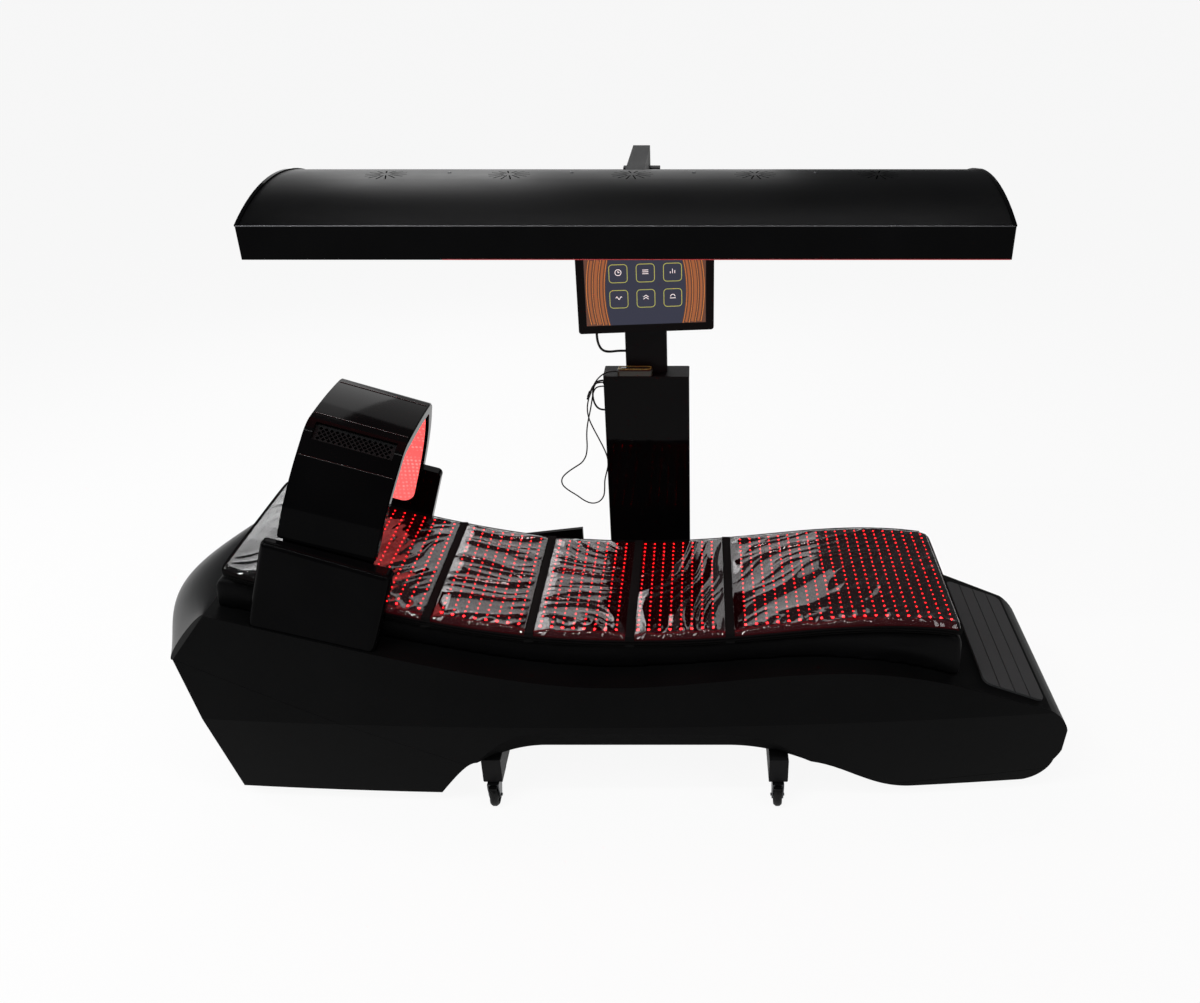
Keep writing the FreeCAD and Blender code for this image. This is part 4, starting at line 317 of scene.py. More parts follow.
STEEL = surface("castor_steel", (0.06, 0.062, 0.066), 0.35, metal=1.0, grain=0.2, grain_scale=700,
                wear=0.15)
TYRE = surface("castor_rubber", (0.006, 0.006, 0.006), 0.6, grain=0.4, grain_scale=900, specular=0.25)
NYLON = surface("bearing_nylon", (0.75, 0.75, 0.72), 0.5, grain=0.1)
ALLOY = surface("actuator_alloy", (0.62, 0.63, 0.65), 0.28, metal=1.0, grain=0.15)
CHROME = surface("rod_chrome", (0.8, 0.8, 0.82), 0.08, metal=1.0, vary=0.02)
LINER = surface("liner_glow", (0.6, 0.1, 0.1), 0.35, grain=0.2, grain_scale=500,
                glow=(1.0, 0.16, 0.15), glow_strength=1.1)
DIFFUSER = surface("lamp_diffuser", (0.5, 0.05, 0.05), 0.3, glow=(1.0, 0.03, 0.04), glow_strength=0.8)
OLIVE = surface("handset_olive", (0.02, 0.018, 0.007), 0.35, grain=0.2, grain_scale=800, wear=0.2)
YELLOW = surface("handset_band", (0.32, 0.27, 0.05), 0.4, grain=0.1, grain_scale=800)
LEAD = surface("lead_rubber", (0.004, 0.004, 0.004), 0.45, grain=0.2, grain_scale=1500, specular=0.2)
DARK_GLASS = surface("screen_glass", (0.003, 0.003, 0.008), 0.06, specular=0.2, vary=0.02)
# Lighter grey metal for the bead on the canopy's front edge: a painted highlight on that edge
SEAM_HIGHLIGHT = surface("canopy_seam_highlight", (0.09, 0.09, 0.095), 0.25, metal=1.0, vary=0.03)
LEATHER = leather("cushion_leatherette", (0.0018, 0.0018, 0.002))
WEBBING = woven("strap_webbing", (0.005, 0.005, 0.005), 0.0012)
EDGE_TAPE = woven("mat_edge_tape", (0.003, 0.003, 0.003), 0.0014)
# The mat's mesh glows faintly red: painted light from the lamps among it
MESH_CLOTH_PAINTED_GLOW = woven("mat_mesh_painted_glow", (0.004, 0.0008, 0.0008), 0.0022, glow=(0.0045, 0.0001, 0.0003))
# Its front border glows more: painted light from the bright front row of lamps
MESH_BORDER_PAINTED_GLOW = woven("mat_border_painted_glow", (0.006, 0.001, 0.001), 0.0022, glow=(0.02, 0.0003, 0.0012))
FILM = clear_film("clear_vinyl")

FINISH = {
    "bed_shell": SATIN, "head_end_cap": SATIN_END, "head_base_cover": SATIN, "foot_skirt": SATIN,
    "column_housing": COLUMN, "column_top_cap": POWDER, "mast_sleeve": POWDER, "lift_mast": POWDER,
    "canopy_cover": CANOPY, "canopy_arm": POWDER, "canopy_hanger": POWDER, "column_base_plate": POWDER,
    "foot_plate": RUBBER_GREY, "chassis_frame": POWDER, "cross_beam_head": POWDER,
    "cross_beam_foot": POWDER, "column_bracket": POWDER, "screen_bracket": POWDER, "screen_yoke": POWDER,
    "power_supply": PLASTIC, "canopy_fans": PLASTIC, "castor_plates": STEEL, "hood_pins": STEEL,
    "hood_grilles": POWDER, "hinge_bushes": NYLON, "mast_guides": NYLON,
    "lift_actuator": ALLOY, "actuator_rod": CHROME, "canopy_led_board": ALLOY,
    "canopy_diffuser": DIFFUSER, "handset": OLIVE, "cable_grommets": LEAD, "pigtail_plug": PLASTIC,
    "screen_glass": DARK_GLASS, "screen_housing": PLASTIC,
}
FINISH_BY_KIND = {"castor_fork": STEEL, "castor_wheel": TYRE, "brake_pedal": PLASTIC}


def dot_lamps(material, between, centre):
    """Small lamps behind a glowing sheet: brighter dots on an even glow."""
    tree = material.node_tree
    place = tree.nodes.new("ShaderNodeTexCoord")
    cells = tree.nodes.new("ShaderNodeTexVoronoi")
    cells.inputs["Scale"].default_value = 85
    cells.inputs["Randomness"].default_value = 0.15
    tree.links.new(place.outputs["Object"], cells.inputs["Vector"])
    tone = tree.nodes.new("ShaderNodeValToRGB")
    tone.color_ramp.elements[0].position = 0.12
    tone.color_ramp.elements[0].color = (*centre, 1)
    tone.color_ramp.elements[1].position = 0.42
    tone.color_ramp.elements[1].color = (*between, 1)
    tree.links.new(cells.outputs["Distance"], tone.inputs["Fac"])
    tree.links.new(tone.outputs["Color"], tree.nodes["Principled BSDF"].inputs["Emission Color"])


def roughen_underside(material):
    """More roughness where the surface faces the floor."""
    tree = material.node_tree
    shader = tree.nodes["Principled BSDF"]
    geometry = tree.nodes.new("ShaderNodeNewGeometry")
    axes = tree.nodes.new("ShaderNodeSeparateXYZ")
    tree.links.new(geometry.outputs["Normal"], axes.inputs[0])
    down = tree.nodes.new("ShaderNodeMapRange")
    down.inputs["From Min"].default_value = -0.15
    down.inputs["From Max"].default_value = -0.6
    tree.links.new(axes.outputs["Z"], down.inputs["Value"])
    blend = tree.nodes.new("ShaderNodeMix")
    blend.inputs["B"].default_value = 1
    tree.links.new(down.outputs["Result"], blend.inputs["Factor"])
    tree.links.new(shader.inputs["Roughness"].links[0].from_socket, blend.inputs["A"])
    tree.links.new(blend.outputs["Result"], shader.inputs["Roughness"])


def finish_nodes():
    for name, node in nodes.items():
        material = FINISH.get(name, GLOSS)
        for kind, own in FINISH_BY_KIND.items():
            if name.startswith(kind):
                material = own
        node.data.materials.clear()
        node.data.materials.append(material)


# Mesh helpers

# Slack for rays that meet the edge between two faces
RAY_SLACK = 0.00002
DOWN, UP = Vector((0, 0, -1)), Vector((0, 0, 1))
ABOVE_ALL = 2


def shade(mesh, smooth):
    mesh.polygons.foreach_set("use_smooth", [smooth] * len(mesh.polygons))


def add_mesh(name, verts, faces, material, body, smooth=True):
    mesh = bpy.data.meshes.new(name)
    mesh.from_pydata(verts, [], faces)
    mesh.validate()
    shade(mesh, smooth)
    mesh.materials.append(material)
    piece = add_object(name, mesh)
    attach(piece, body)
    return piece


def add_curve(name, points, radius, material, cyclic=False):
    """A tube along a smooth spline with these control points."""
    data = bpy.data.curves.new(name, "CURVE")
    data.dimensions = "3D"
    data.bevel_depth = radius
    data.bevel_resolution = 3
    data.resolution_u = 6
    data.use_fill_caps = True
    spline = data.splines.new("NURBS")
    spline.points.add(len(points) - 1)
    for point, place in zip(spline.points, points):
        point.co = (*place, 1)
    spline.order_u = 3
    spline.use_endpoint_u = not cyclic
    spline.use_cyclic_u = cyclic
    data.materials.append(material)
    return add_object(name, data)


def evaluated_mesh(piece):
    """A new mesh of the piece as its modifiers or its curve settings shape it."""
    shaped = piece.evaluated_get(bpy.context.evaluated_depsgraph_get())
    return bpy.data.meshes.new_from_object(shaped)


def tree_of(node_name):
    node = nodes[node_name]
    places = [node.matrix_world @ v.co for v in node.data.vertices]
    return BVHTree.FromPolygons(places, [tuple(p.vertices) for p in node.data.polygons], epsilon=RAY_SLACK)


def circle(x, y, z, radius, sides):
    """Points round an upright axis."""
    angles = [2 * math.pi * k / sides for k in range(sides)]
    return [(x + radius * math.cos(a), y + radius * math.sin(a), z) for a in angles]


def rectangle(left, right, near, far):
    return [(left, near), (right, near), (right, far), (left, far)]


def ring_walls(first, count, levels):
    """Faces between rings of points that follow one another, each ring closed on itself."""
    faces = []
    for level in range(levels):
        for k in range(count):
            a = first + level * count + k
            b = first + level * count + (k + 1) % count
            faces.append((a, b, b + count, a + count))
    return faces


def side_name(side):
    return "front" if side < 0 else "rear"


def ramp(value, start, length):
    """From 0 at the start to 1 after this length."""
    return min(1, max(0, (value - start) / length))


# Leads: the same points as the solids, in millimetres here and in metres when drawn

HANDSET_LEAD = [
    (-21, 314, 1011), (-43, 314, 1011), (-65, 312, 1002), (-83, 310, 984), (-97, 306, 958),
    (-107, 301, 930), (-112, 296, 902), (-108, 292, 873), (-96, 289, 844), (-81, 287, 812),
    (-67, 286, 780), (-58, 286, 752), (-57, 286, 727), (-63, 286, 702), (-70, 286, 676),
    (-71, 286, 648), (-74, 285, 622), (-89, 284, 603), (-111, 283, 598), (-133, 282, 608),
    (-155, 281, 628), (-179, 280, 645), (-197, 279, 664), (-197, 278, 687), (-179, 278, 706),
    (-155, 279, 723), (-133, 280, 737), (-120, 283, 758), (-116, 287, 786), (-117, 292, 816),
    (-115, 300, 845), (-109, 309, 872), (-103, 318, 897), (-99, 326, 920), (-95, 331, 941),
    (-84, 334, 957), (-64, 334, 957),
]
SIDE_LEAD = [
    (-64, 346, 970), (-78, 346, 970), (-90, 346, 960), (-97, 346, 943), (-99, 346, 924), (-97, 346, 905),
    (-90, 346, 888), (-78, 346, 878), (-64, 346, 878),
]
PIGTAIL_LEAD = [(-64, 318, 975), (-76, 318, 975), (-88, 318, 970), (-97, 318, 960), (-102, 318, 947)]
SCREEN_CABLE = [
    (-67, 240, 1156), (-67, 240, 1137), (-66, 252, 1118), (-63, 266, 1101), (-59, 283, 1087),
    (-53, 301, 1076), (-44, 318, 1068), (-33, 334, 1063), (-18, 345, 1061), (2.5, 345, 1061),
]


def metres(points):
    return [tuple(value / 1000 for value in point) for point in points]


def bending_tube(curve):
    """A lead as a mesh tube, and the points along its spline."""
    name = curve.name
    curve.data.resolution_u = 12
    mesh = evaluated_mesh(curve)
    curve.data.bevel_depth = 0
    path = [tuple(v.co) for v in evaluated_mesh(curve).vertices]
    bpy.data.objects.remove(curve)
    shade(mesh, True)
    return add_object(name, mesh), path


def make_leads():
    routes = (
        ("handset_lead", HANDSET_LEAD, 0.004, 0.962, "object", "limp", ()),
        ("side_lead", SIDE_LEAD, 0.0055, 0.132, "object", "limp", ()),
        ("pigtail_lead", PIGTAIL_LEAD, 0.004, 0.052, "plug", "medium", ("pigtail_plug",)),
        ("screen_cable", SCREEN_CABLE, 0.007, 0.187, "object", "medium", ()),
    )
    for node, points, diameter, length, far_end, stiffness, on_it in routes:
        route = metres(points)
        piece = add_curve(f"{node}_tube", route, diameter / 2, LEAD)
        path = None
        if node == "screen_cable":
            piece, path = bending_tube(piece)
            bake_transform(piece)
        else:
            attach(piece, "base")
        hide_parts(node)


# Cushion

CUSHION_VOXEL = 0.009
CUSHION_INSET = 0.003
CUSHION_PRESSURE = 3.0
CUSHION_SWELL = 0.004
CLOTH_STIFFNESS = 30
CLOTH_STEPS = 14

# How far a normal leans before its point counts as on the side or on the underside
SIDE_NORMAL = 0.6
UNDERSIDE_NORMAL = -0.4


def swollen(piece, pressure, cap):
    """Swell a pad by cloth pressure, hold its underside, and cap how far any point moves."""
    rest = [v.co.copy() for v in piece.data.vertices]
    normals = [v.normal.copy() for v in piece.data.vertices]
    cloth = piece.modifiers.new("cloth", "CLOTH")
    cloth.settings.use_pressure = True
    cloth.settings.uniform_pressure_force = pressure
    cloth.settings.effector_weights.gravity = 0
    cloth.settings.tension_stiffness = CLOTH_STIFFNESS
    cloth.settings.compression_stiffness = CLOTH_STIFFNESS
    cloth.point_cache.frame_end = CLOTH_STEPS
    for index in range(1, CLOTH_STEPS + 1):
        scene.frame_set(index)
    shaped = piece.evaluated_get(bpy.context.evaluated_depsgraph_get())
    moved = [v.co.copy() for v in shaped.data.vertices]
    piece.modifiers.remove(cloth)
    scene.frame_set(1)
    for vertex, start, normal, end in zip(piece.data.vertices, rest, normals, moved):
        shift = end - start
        if normal.z < UNDERSIDE_NORMAL:
            shift = Vector((0, 0, 0))
        if shift.length > cap:
            shift = shift * (cap / shift.length)
        vertex.co = start + shift


def make_cushion():
    piece = add_object("cushion_cover", nodes["base_cushion"].data.copy())
    remesh = piece.modifiers.new("remesh", "REMESH")
    remesh.mode = "VOXEL"
    remesh.voxel_size = CUSHION_VOXEL
    piece.data = evaluated_mesh(piece)
    piece.modifiers.clear()
    for vertex in piece.data.vertices:
        inward = CUSHION_INSET * (1 if vertex.co.y < AXIS_Y else -1)
        if abs(vertex.normal.y) > SIDE_NORMAL:
            vertex.co.y += inward
    swollen(piece, CUSHION_PRESSURE, CUSHION_SWELL)
    smooth = piece.modifiers.new("smooth", "SMOOTH")
    smooth.factor = 0.5
    smooth.iterations = 4
    piece.data = evaluated_mesh(piece)
    piece.modifiers.clear()
    shade(piece.data, True)
    piece.data.materials.clear()
    piece.data.materials.append(LEATHER)
    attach(piece, "base")
    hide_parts("base_cushion")


# Lamp mat

MAT_HEAD, MAT_FOOT = -0.968, 0.886
MAT_LENGTH = MAT_FOOT - MAT_HEAD
MAT_HALF = 0.251
MAT_CORNER = 0.022

# Rays at the mat run beside the axis, where they can't slip between two faces
MAT_RAY_Y = AXIS_Y + 0.0037

# The pad: its top under the film, its underside over the cushion, and how square its section is
FILM_GAP = 0.003
PAD_LIFT = 0.0008
PAD_SIDE_POWER, PAD_TOP_POWER = 0.28, 0.4
PAD_STEPS, PAD_RING = 160, 64
TOP_NORMAL = 0.8
TAPE_AT_SIDE, TAPE_AT_FOOT = 0.246, 0.014
# Where the front border with the stronger painted glow begins
GLOW_BORDER_AT_FRONT = 0.211

# Lines along the pad's edge: share of its height, and radius
EDGE_LINES = {"upper": (0.82, 0.0016), "zip": (0.5, 0.0026), "lower": (0.2, 0.0016)}
EDGE_STEPS = 40
EDGE_END_SHARE = 0.012
EDGE_STAND_OFF = 0.001

LAMP_HEAD, LAMP_FOOT = -0.70, 0.862
LAMP_COLUMNS, LAMP_ROWS = 57, 21
LAMP_FRONT, LAMP_SPAN = 0.204, 0.432
LAMP_RADIUS, LAMP_RADIUS_FRONT = 0.0021, 0.003
LAMP_FOOT_DEPTH, LAMP_HEIGHT = 0.0002, 0.0014
LAMP_SIDES = 8

STRAPS = [-0.480, -0.223, 0.034, 0.291]
STRAP_REACH = 0.256
STRAP_PROFILE = [(-0.012, 0.0), (-0.0115, 0.0016), (0.0115, 0.0016), (0.012, 0.0)]
STRAP_STEPS = 40
STRAP_LIFT = 0.0014
STRAP_DROP, STRAP_DROP_FROM = 0.02, 0.95
STRAP_CLEAR = 0.015

# The film: its steps, inset and thickness, its crown over the pad, and where it turns down
FILM_COLUMNS, FILM_ROWS = 560, 140
FILM_END_SHARE = 0.004
FILM_INSET = 0.002
FILM_LIFT = 0.0006
FILM_THICK = 0.0004
CROWN = 0.0016
FILM_DROP, FILM_DROP_FROM = 0.012, 0.93

# Lean of the folds in each panel between the straps, in degrees
FOLD_LEANS = [55, 8, -10, 68, 38]

# Each set of folds: height, and how close the folds are along and across them
LONG_FOLDS = (0.0055, 2.2, 11)
FINE_FOLDS = (0.0026, 4, 28)
RIM_FOLDS = (0.0042, 30, 24)
FINE_SEED, RIM_SEED = 7.3, 4.2
FOLD_EDGE = 0.62

# Slow drift of the folds and of the film's height: size, and scale along and across, and seed
FOLD_SWAY, SWAY_PATTERN = 0.12, (3.1, 3.7, 3.1)
SWELL_HEIGHT, SWELL_PATTERN = 0.004, (4, 5, 9.4)

# Where the folds die out, where those of the front rim begin, and how calm the film is past the lamps
FLAT_AT_STRAP, STRAP_FADE = 0.012, 0.03
FLAT_AT_SIDE, SIDE_FADE = 0.247, 0.02
END_FADE = 0.03
RIM_FROM, RIM_FADE = 0.17, 0.06
CALM_SHARE, CALM_FADE = 0.3, 0.06

mat_tree = tree_of("led_mat")


def mat_top(x):
    return mat_tree.ray_cast(Vector((x, MAT_RAY_Y, ABOVE_ALL)), DOWN)[0].z


def mat_bottom(x):
    return mat_tree.ray_cast(Vector((x, MAT_RAY_Y, 0)), UP)[0].z


def mat_half(x):
    """Half the mat's width, drawn in round its corners."""
    inside = min(x - MAT_HEAD, MAT_FOOT - x)
    short = min(MAT_CORNER, max(0, MAT_CORNER - inside))
    return MAT_HALF - MAT_CORNER + math.sqrt(MAT_CORNER ** 2 - short ** 2)


def strap_gap(x):
    return min(abs(x - strap) for strap in STRAPS)


def fold(u, v, seed):
    """One set of folds: ridges along u, uneven along their length."""
    ridge = 1 - abs(noise.noise(Vector((u, v, seed))))
    return max(0, (ridge - FOLD_EDGE) / (1 - FOLD_EDGE)) ** 2


def fold_height(folds, along, across, seed):
    height, along_scale, across_scale = folds
    return height * fold(along * along_scale, across * across_scale, seed)


def drift(x, y, pattern):
    along_scale, across_scale, seed = pattern
    return noise.noise(Vector((x * along_scale, y * across_scale, seed)))


def wrinkle(x, y):
    """Height of the vinyl's folds, which run their own way between each two straps and end at them."""
    panel = sum(x > strap for strap in STRAPS)
    lean = math.radians(FOLD_LEANS[panel])
    across = y - AXIS_Y
    sway = FOLD_SWAY * drift(x, y, SWAY_PATTERN)
    u = x * math.cos(lean) + across * math.sin(lean)
    v = across * math.cos(lean) - x * math.sin(lean) + sway
    free = ramp(strap_gap(x), FLAT_AT_STRAP, STRAP_FADE)
    side = ramp(FLAT_AT_SIDE - abs(across), 0, SIDE_FADE)
    ends = ramp(min(x - MAT_HEAD, MAT_FOOT - x), 0, END_FADE)
    rim = ramp(-across, RIM_FROM, RIM_FADE)
    broad = 0.5 + 0.5 * drift(x, y, SWELL_PATTERN)
    height = fold_height(LONG_FOLDS, u, v, panel) + fold_height(FINE_FOLDS, u, v, panel + FINE_SEED)
    height += SWELL_HEIGHT * broad + rim * fold_height(RIM_FOLDS, x, across, RIM_SEED)
    calm = CALM_SHARE + (1 - CALM_SHARE) * ramp(x, LAMP_HEAD, CALM_FADE)
    return calm * free * side * ends * height


def make_mat():
    """The pad under the film, with the film, the lamps and the lines of its edge."""
    make_pad()
    make_film()
    make_lamps()
    make_edge_lines()


def make_pad():
    """Mesh on top with a painted red glow from the lamps, stronger along its front border; black tape round
    its edge.
    """
    verts = []
    for i in range(PAD_STEPS + 1):
        share = 0.5 - 0.5 * math.cos(math.pi * i / PAD_STEPS)
        x = MAT_HEAD + MAT_LENGTH * share
        top = mat_top(x) - FILM_GAP
        bottom = mat_bottom(x) + PAD_LIFT
        middle, thick = (top + bottom) / 2, (top - bottom) / 2
        half = mat_half(x)
        for j in range(PAD_RING):
            angle = 2 * math.pi * j / PAD_RING
            side, rise = math.cos(angle), math.sin(angle)
            side = math.copysign(abs(side) ** PAD_SIDE_POWER, side)
            rise = math.copysign(abs(rise) ** PAD_TOP_POWER, rise)
            verts.append((x, AXIS_Y + half * side, middle + thick * rise))
    faces = ring_walls(0, PAD_RING, PAD_STEPS)
    faces.append(tuple(range(PAD_RING)))
    faces.append(tuple(reversed(range(PAD_STEPS * PAD_RING, (PAD_STEPS + 1) * PAD_RING))))
    pad = add_mesh("mat_pad", verts, faces, MESH_CLOTH_PAINTED_GLOW, "base")
    pad.data.materials.append(EDGE_TAPE)
    pad.data.materials.append(MESH_BORDER_PAINTED_GLOW)
    for face in pad.data.polygons:
        past_lamps = face.center.x < LAMP_HEAD or face.center.x > MAT_FOOT - TAPE_AT_FOOT
        across = abs(face.center.y - AXIS_Y)
        if face.normal.z < TOP_NORMAL or across > TAPE_AT_SIDE or past_lamps:
            face.material_index = 1
        # The front border takes the stronger painted glow
        elif face.center.y < AXIS_Y - GLOW_BORDER_AT_FRONT:
            face.material_index = 2
    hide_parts("led_mat")


def make_edge_lines():
    for side in (-1, 1):
        for name, (height, radius) in EDGE_LINES.items():
            edge = []
            for i in range(EDGE_STEPS + 1):
                share = EDGE_END_SHARE + (1 - 2 * EDGE_END_SHARE) * i / EDGE_STEPS
                x = MAT_HEAD + MAT_LENGTH * share
                low, high = mat_bottom(x), mat_top(x) - FILM_GAP
                y = AXIS_Y + side * (mat_half(x) + EDGE_STAND_OFF)
                edge.append((x, y, low + (high - low) * height))
            line = add_curve(f"mat_{name}_{side_name(side)}", edge, radius, EDGE_TAPE)
            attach(line, "base")


def make_film():
    verts, faces = [], []
    for i in range(FILM_COLUMNS + 1):
        x = MAT_HEAD + MAT_LENGTH * (FILM_END_SHARE + (1 - 2 * FILM_END_SHARE) * i / FILM_COLUMNS)
        base = mat_top(x) + FILM_LIFT
        half = mat_half(x) - FILM_INSET
        for j in range(FILM_ROWS + 1):
            y = AXIS_Y + half * (2 * j / FILM_ROWS - 1)
            share = abs(y - AXIS_Y) / half
            drop = FILM_DROP * max(0, share - FILM_DROP_FROM) / (1 - FILM_DROP_FROM)
            verts.append((x, y, base - CROWN * share ** 2 - drop + wrinkle(x, y)))
    for i in range(FILM_COLUMNS):
        for j in range(FILM_ROWS):
            a = i * (FILM_ROWS + 1) + j
            faces.append((a, a + FILM_ROWS + 1, a + FILM_ROWS + 2, a + 1))
    film = add_mesh("mat_film", verts, faces, FILM, "base")
    thick = film.modifiers.new("thickness", "SOLIDIFY")
    thick.thickness = FILM_THICK
    thick.offset = 1


def make_lamps():
    """Rows of small round lamps under the film, brighter along the front."""
    lit = surface("lamp_red", (0.5, 0.01, 0.01), 0.3, glow=(1.0, 0.0045, 0.007), glow_strength=12)
    bright = surface("lamp_bright", (0.5, 0.01, 0.01), 0.3, glow=(1.0, 0.005, 0.007), glow_strength=40)
    groups = {"mat_lamps": ([], [], lit), "mat_lamps_front": ([], [], bright)}
    for i in range(LAMP_COLUMNS):
        x = LAMP_HEAD + (LAMP_FOOT - LAMP_HEAD) * i / (LAMP_COLUMNS - 1)
        if strap_gap(x) < STRAP_CLEAR:
            continue
        base = mat_top(x) - FILM_GAP
        for j in range(LAMP_ROWS):
            y = AXIS_Y - LAMP_FRONT + LAMP_SPAN * j / (LAMP_ROWS - 1)
            verts, faces, _ = groups["mat_lamps" if j else "mat_lamps_front"]
            radius = LAMP_RADIUS if j else LAMP_RADIUS_FRONT
            start = len(verts)
            verts.extend(circle(x, y, base - LAMP_FOOT_DEPTH, radius, LAMP_SIDES))
            verts.append((x, y, base + LAMP_HEIGHT))
            for k in range(LAMP_SIDES):
                faces.append((start + k, start + (k + 1) % LAMP_SIDES, start + LAMP_SIDES))
    for name, (verts, faces, material) in groups.items():
        add_mesh(name, verts, faces, material, "base")


def make_straps():
    verts, faces = [], []
    count = len(STRAP_PROFILE)
    for strap in STRAPS:
        first = len(verts)
        for i in range(STRAP_STEPS + 1):
            y = AXIS_Y + STRAP_REACH * (2 * i / STRAP_STEPS - 1)
            share = abs(y - AXIS_Y) / STRAP_REACH
            drop = STRAP_DROP * max(0, share - STRAP_DROP_FROM) / (1 - STRAP_DROP_FROM)
            top = mat_top(strap) + STRAP_LIFT - CROWN * share ** 2 - drop
            verts.extend((strap + offset, y, top + rise) for offset, rise in STRAP_PROFILE)
        faces.extend(ring_walls(first, count, STRAP_STEPS))
        faces.append(tuple(first + k for k in reversed(range(count))))
        faces.append(tuple(first + STRAP_STEPS * count + k for k in range(count)))
    straps = add_mesh("strap_bands", verts, faces, WEBBING, "base", smooth=False)
    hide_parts("mat_straps")


# Screen display, drawn in flat pieces just in front of the pane

SCREEN_TURN = math.radians(6.4)
SCREEN_PIVOT = Vector((0.061, 0.312, 1.2685))
PANE_FRONT = 0.079
DISPLAY_X, DISPLAY_Z = 0.1605, 0.0905
LAYER = 0.0001

# Arcs at both ends: how far past the middle they are centred, and their steps and widths
ARC_OFFSET = 0.27
ARC_SPREAD = 20
ARC_STEPS = 64
FAN_EDGE = 0.107
FIRST_ARC, ARC_PITCH = 0.11, 0.0078
ARC_WIDTHS = (0.0014, 0.006, 0.0014, 0.008, 0.0012, 0.006, 0.0016)
WIDE_ARC = 0.002

BUTTONS_IN_ROW, BUTTON_ROWS = 3, 2
BUTTON_PITCH_X, BUTTON_PITCH_Z = 0.072, 0.069
BUTTON_TOP_Z = 0.050
BUTTON_HALF, BUTTON_CORNER = 0.024, 0.009
BUTTON_LINE, ICON_LINE = 0.0018, 0.0016
ICON_RISE = 0.003
CORNER_STEPS = 5


def on_screen(x, z, lift):
    turned = Matrix.Rotation(SCREEN_TURN, 3, "Z") @ Vector((x, -PANE_FRONT - lift, z))
    return tuple(SCREEN_PIVOT + turned)


def flat_piece(name, outlines, layer, material):
    """Flat faces on the display, each given as a ring of points across and up."""
    verts, faces = [], []
    for outline in outlines:
        start = len(verts)
        verts.extend(on_screen(x, z, layer * LAYER) for x, z in outline)
        faces.append(tuple(range(start, start + len(outline))))
    return add_mesh(name, verts, faces, material, "screen", smooth=False)


def band(points, width):
    """A strip of even width along a line of points, as separate quads."""
    quads = []
    for (x1, z1), (x2, z2) in zip(points, points[1:]):
        length = math.hypot(x2 - x1, z2 - z1)
        across, up = -(z2 - z1) / length * width / 2, (x2 - x1) / length * width / 2
        quads.append([(x1 - across, z1 - up), (x2 - across, z2 - up),
                      (x2 + across, z2 + up), (x1 + across, z1 + up)])
    return quads


def arc_points(x, z, radius, start, end, steps):
    angles = [math.radians(start + (end - start) * i / steps) for i in range(steps + 1)]
    return [(x + radius * math.cos(a), z + radius * math.sin(a)) for a in angles]


def rounded_ring(x, z, half, radius):
    ring = []
    inner = half - radius
    for corner, (sx, sz) in enumerate(((1, 1), (-1, 1), (-1, -1), (1, -1))):
        start = corner * 90
        ring += arc_points(x + sx * inner, z + sz * inner, radius, start, start + 90, CORNER_STEPS)
    return ring + ring[:1]


def icon_lines(index, x, z):
    """Plain line icons: clock, list, bars, wave, chevrons and bell."""
    if index == 0:
        return [arc_points(x, z, 0.008, 0, 360, 20), [(x, z + 0.005), (x, z), (x + 0.004, z)]]
    if index == 1:
        return [[(x - 0.008, z + d), (x + 0.008, z + d)] for d in (0.005, 0, -0.005)]
    if index == 2:
        bars = ((-0.006, 0.005), (0, 0.012), (0.006, 0.008))
        return [[(x + d, z - 0.006), (x + d, z - 0.006 + h)] for d, h in bars]
    if index == 3:
        return [[(x + 0.0016 * k - 0.008, z + 0.004 * math.sin(k * 0.9)) for k in range(11)]]
    if index == 4:
        return [[(x - 0.007, z + d), (x, z + 0.005 + d), (x + 0.007, z + d)] for d in (0.001, -0.005)]
    return [arc_points(x, z, 0.006, 0, 180, 10), [(x - 0.008, z - 0.004), (x + 0.008, z - 0.004)]]


def lit_colour(name, colour, rough, glow):
    return surface(f"display_{name}", colour, rough, glow=glow, glow_strength=1)


